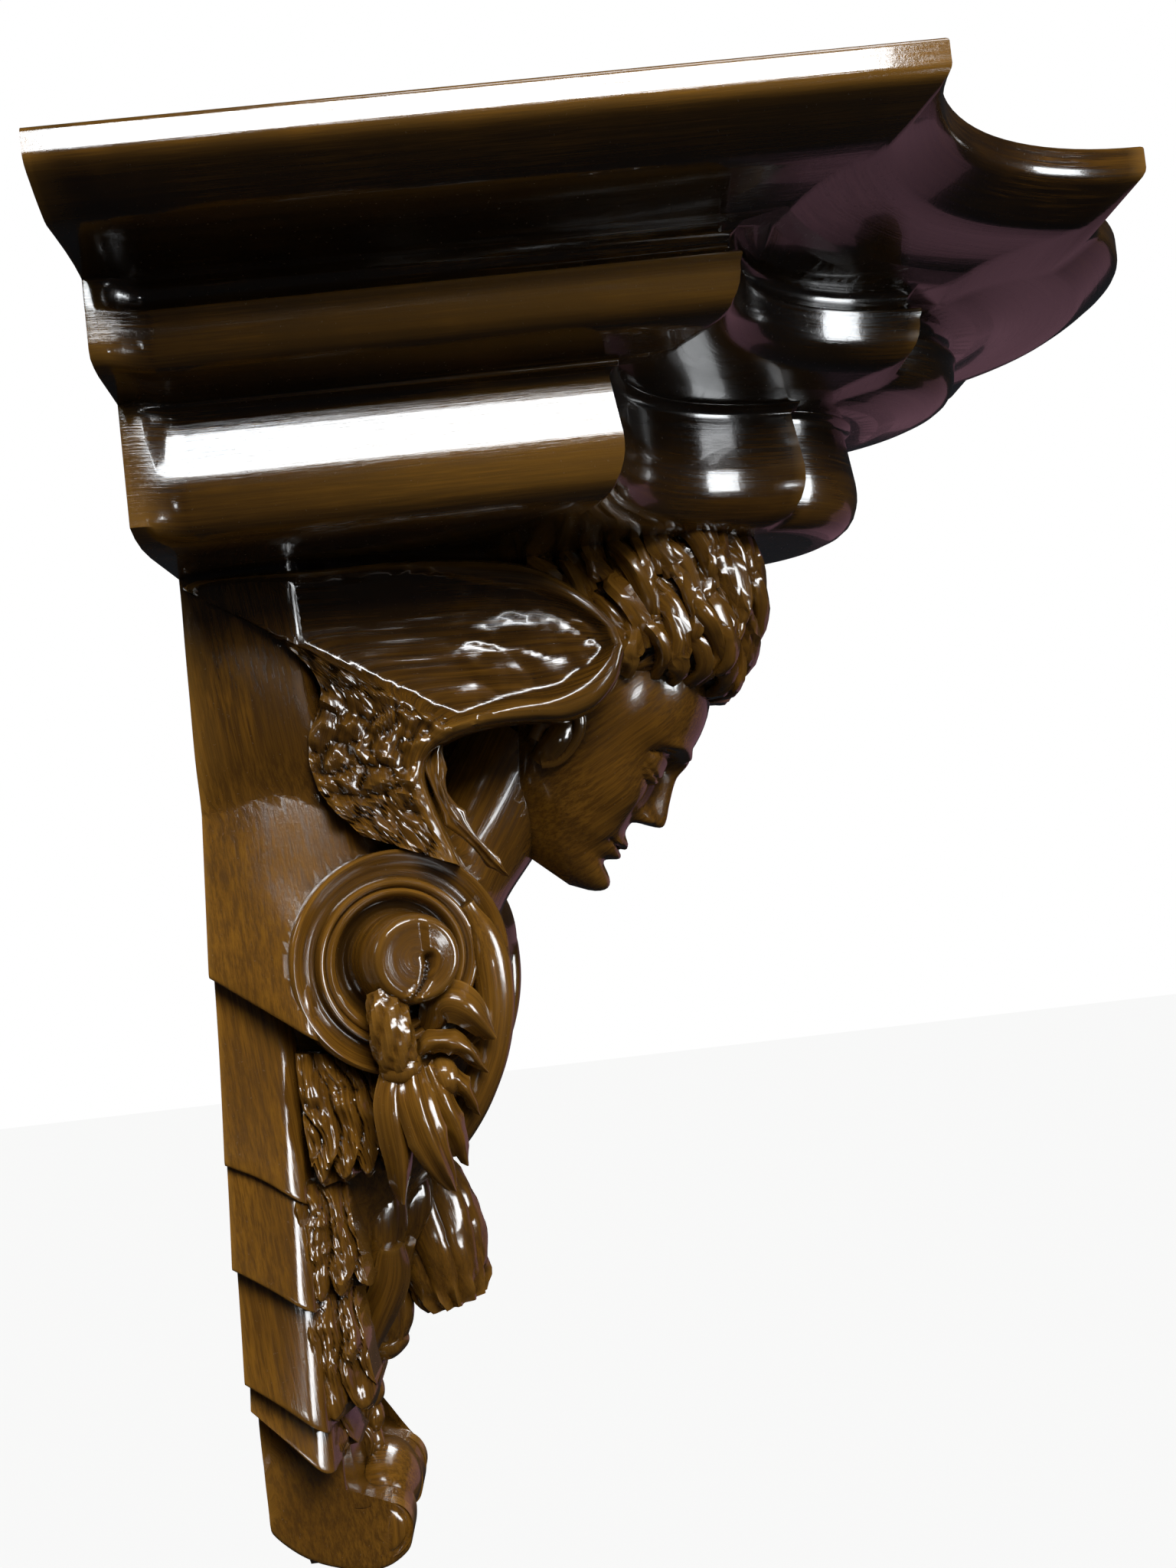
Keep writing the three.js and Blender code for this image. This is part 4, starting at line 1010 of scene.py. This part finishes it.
# Finish: dark walnut stain rubbed back to streaky gold brown on the high parts, under glossy varnish.
# The streaks follow each form and the shelf is darker.
# Painted shade darkens the hollows, and the wings and upper flanks just under the shelf.
class Wire:
    """A socket whose operators add Math nodes to its material."""

    def __init__(self, finish, socket):
        self.finish = finish
        self.socket = socket

    def math(self, operation, other):
        return self.finish.node("ShaderNodeMath", {"operation": operation}, {0: self, 1: other})

    def __add__(self, other):
        return self.math("ADD", other)

    def __rsub__(self, other):
        return self.finish.node("ShaderNodeMath", {"operation": "SUBTRACT"}, {0: other, 1: self})

    def __mul__(self, other):
        return self.math("MULTIPLY", other)

    __radd__ = __add__
    __rmul__ = __mul__


class Finish:
    """A material whose nodes are added by one method."""

    def __init__(self, name):
        self.material = bpy.data.materials.new(name)
        self.material.use_nodes = True
        self.tree = self.material.node_tree
        self.shader = self.tree.nodes["Principled BSDF"]

    def node(self, kind, settings, values, output=0):
        made = self.tree.nodes.new(kind)
        for key, value in settings.items():
            setattr(made, key, value)
        for key, value in values.items():
            self.join(value, made.inputs[key])
        return Wire(self, made.outputs[output])

    def join(self, value, socket):
        if isinstance(value, Wire):
            self.tree.links.new(value.socket, socket)
        else:
            socket.default_value = value

    def blend(self, factor, a, b):
        settings = {"data_type": "RGBA"}
        return self.node("ShaderNodeMix", settings, {0: factor, 6: a, 7: b}, output=2)

    def noise(self, vector, scale, detail=2.0, rough=0.5):
        values = {"Vector": vector, "Scale": scale, "Detail": detail, "Roughness": rough}
        return self.node("ShaderNodeTexNoise", {}, values)

    def stretch(self, vector, scale):
        return self.node("ShaderNodeVectorMath", {"operation": "MULTIPLY"}, {0: vector, 1: scale})

    def ramp(self, value, low, high):
        """Straight from 0 at low to 1 at high, held at both ends."""
        return self.node("ShaderNodeMapRange", {"clamp": True}, {0: value, 1: low, 2: high, 3: 0.0, 4: 1.0})


GOLD = (0.20, 0.094, 0.012, 1)
BROWN = (0.055, 0.024, 0.004, 1)
# The darkest colour is the walnut of the grain streaks and also the painted shade in the hollows and under
# the shelf.
WALNUT_AND_SHADE = (0.010, 0.005, 0.002, 1)
RUBBED_EDGE = (0.27, 0.14, 0.026, 1)
SPECULAR, COAT, COAT_ROUGHNESS = 0.5, 0.5, 0.05
PAINTED_SHADE_FROM, PAINTED_SHADE_FULL = 0.0022, 0.0034  # squares of the half widths between which the painted shade under the shelf sets in


def varnish():
    """Streaks along the brush, painted shade in the hollows and under the shelf, and rubbed bright on the
    edges.
    """
    finish = Finish("varnished_gold_brown")
    brush = finish.node("ShaderNodeAttribute", {"attribute_name": "brush"}, {}, output=1)
    hollow = finish.node("ShaderNodeAttribute", {"attribute_name": "hollow"}, {}, output=2)
    place = finish.node("ShaderNodeTexCoord", {}, {}, output=3)
    streak = finish.noise(finish.stretch(brush, (0.85, 0.85, 0.028)), 1.0, 4.0, 0.62)
    fine = finish.noise(finish.stretch(brush, (2.6, 2.6, 0.07)), 1.0, 2.0, 0.6)
    cloud = finish.noise(place, 26.0, 3.0, 0.55)
    tone = finish.ramp(0.62 * streak + 0.38 * fine, 0.42, 0.60)
    broad = finish.ramp(cloud, 0.34, 0.68)
    # Painted shade: the hollows are darkened towards the darkest colour, as occlusion would shade them.
    painted_hollow_shade = finish.ramp(hollow, 0.02, 0.16)
    bright = finish.ramp(hollow, -0.04, -0.22)
    colour = finish.blend((0.25 + 0.75 * tone) * (0.55 + 0.45 * broad), BROWN, GOLD)
    colour = finish.blend(finish.ramp(fine, 0.60, 0.72) * 0.35, colour, WALNUT_AND_SHADE)
    across, height_up = (finish.node("ShaderNodeSeparateXYZ", {}, {0: place}, output=k) for k in (0, 2))
    # The shelf is made darker towards its top. Below it, on the wings and upper flanks, painted shade from
    # the shelf's overhang fades out downward.
    shelf = finish.ramp(height_up, -0.030, 0.000)
    flank = finish.ramp(across * across, PAINTED_SHADE_FROM, PAINTED_SHADE_FULL) * finish.ramp(height_up, -0.125, -0.040)
    dark_shelf_and_painted_shade = shelf.math("MAXIMUM", 0.85 * flank)
    # Darkens the shelf and paints the shade under it, less on the gold streaks.
    colour = finish.blend(dark_shelf_and_painted_shade * (0.90 - 0.45 * tone * broad), colour, WALNUT_AND_SHADE)
    # Painted shade in the hollows.
    colour = finish.blend(painted_hollow_shade * 0.85, colour, WALNUT_AND_SHADE)
    colour = finish.blend(bright * 0.45, colour, RUBBED_EDGE)
    speck = finish.noise(place, 900.0, 2.0, 0.7)
    rough = 0.11 + 0.08 * (1 - tone) + 0.12 * finish.ramp(speck, 0.60, 0.72)
    shader = finish.shader
    finish.join(colour, shader.inputs["Base Color"])
    finish.join(rough, shader.inputs["Roughness"])
    shader.inputs["Metallic"].default_value = 0.0
    shader.inputs["Specular IOR Level"].default_value = SPECULAR
    shader.inputs["Coat Weight"].default_value = COAT
    shader.inputs["Coat Roughness"].default_value = COAT_ROUGHNESS
    height = 0.5 * streak + 0.3 * fine + 0.25 * speck
    bump = finish.node("ShaderNodeBump", {}, {"Strength": 0.18, "Distance": 0.0006, "Height": height})
    finish.join(bump, shader.inputs["Normal"])
    return finish.material


corbel.data.materials.clear()
corbel.data.materials.append(varnish())
corbel.data.polygons.foreach_set("material_index", np.zeros(len(corbel.data.polygons), np.int32))
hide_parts("angel_corbel")
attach(corbel, "root")


# Studio: a plain pale floor well below, a white surround and soft boxes, most of them to one side.
# Each soft box gives either the soft light or the highlights.
def add_floor():
    """A wide square of pale matt board."""
    size, low = 6.0, -0.95
    mesh = bpy.data.meshes.new("floor")
    corners = [(-size, -size, low), (size, -size, low), (size, size, low), (-size, size, low)]
    mesh.from_pydata(corners, [], [(0, 1, 2, 3)])
    floor = bpy.data.objects.new("floor", mesh)
    bpy.context.scene.collection.objects.link(floor)
    board = Finish("pale_board")
    board.shader.inputs["Base Color"].default_value = (0.7, 0.7, 0.7, 1)
    board.shader.inputs["Roughness"].default_value = 0.9
    board.shader.inputs["Emission Color"].default_value = (0.93, 0.93, 0.925, 1)
    board.shader.inputs["Emission Strength"].default_value = 1.0
    mesh.materials.append(board.material)
    floor.visible_glossy = False
    floor.visible_diffuse = False


lit_only = bpy.data.collections.new("lit_only")
lit_only.objects.link(corbel)


def add_soft_box(name, place, target, size, power, tint, shine=True):
    """An area light at place, facing target, that gives the highlights alone or the soft light alone."""
    data = bpy.data.lights.new(name, "AREA")
    data.shape = "RECTANGLE"
    data.size, data.size_y = size
    data.energy = power
    data.color = tint
    light = bpy.data.objects.new(name, data)
    light.location = place
    light.rotation_euler = (Vector(target) - Vector(place)).to_track_quat("-Z", "Y").to_euler()
    light.visible_camera = False
    light.visible_glossy = shine
    light.visible_diffuse = not shine
    light.light_linking.receiver_collection = lit_only
    bpy.context.scene.collection.objects.link(light)


def light_studio():
    """A dim surround for reflections, white to the eye, and soft boxes for the window light."""
    bpy.context.scene.view_settings.view_transform = "Standard"
    world = bpy.data.worlds.new("surround")
    bpy.context.scene.world = world
    world.use_nodes = True
    tree = world.node_tree
    tree.nodes.clear()
    out = tree.nodes.new("ShaderNodeOutputWorld")
    path = tree.nodes.new("ShaderNodeLightPath")
    both = tree.nodes.new("ShaderNodeMixShader")
    reflected, seen = ((0.75, 0.85, 1.0, 1), 0.02), ((1, 1, 1, 1), 1.0)
    for socket, (colour, strength) in zip(both.inputs[1:], (reflected, seen)):
        shade = tree.nodes.new("ShaderNodeBackground")
        shade.inputs["Color"].default_value = colour
        shade.inputs["Strength"].default_value = strength
        tree.links.new(shade.outputs[0], socket)
    tree.links.new(path.outputs["Is Camera Ray"], both.inputs[0])
    tree.links.new(both.outputs[0], out.inputs[0])
    middle = (0, -0.12, -0.1)
    warm, cool = (1.0, 0.93, 0.80), (0.93, 0.97, 1.0)
    add_soft_box("key", (-1.4, -0.55, 0.9), middle, (0.9, 0.9), 39, warm, shine=False)
    add_soft_box("fill", (-1.2, -0.9, -0.1), middle, (1.2, 1.0), 1.6, warm, shine=False)
    add_soft_box("window", (-0.4, -0.1, 0.16), (-0.11, -0.1, 0.015), (0.325, 0.056), 1.6, cool)
    add_soft_box("skylight", (-0.8, -0.3, 1.3), middle, (0.7, 0.5), 9, cool)
    add_soft_box("door", (-0.75, -1.4, -0.05), middle, (0.5, 0.8), 23, cool)
    add_soft_box("lamp", (-1.2, -0.61, -0.33), (0, -0.09, -0.106), (0.12, 0.10), 0.8, cool)
    add_soft_box("far_wall", (1.4, -1.3, -0.55), (0, -0.2, 0), (1.6, 0.9), 0.9, (1.0, 0.45, 0.6))
    add_soft_box("right_fill", (1.4, -0.5, 0.7), middle, (0.9, 0.9), 30, warm, shine=False)
    add_soft_box("right_window", (1.2, -0.2, 0.5), middle, (0.6, 0.3), 5, cool)
    add_soft_box("back_fill", (0.3, 1.6, 0.5), middle, (1.2, 0.9), 30, warm, shine=False)
    add_soft_box("back_window", (0.5, 1.4, 0.5), middle, (0.8, 0.4), 6, cool)


add_floor()
light_studio()
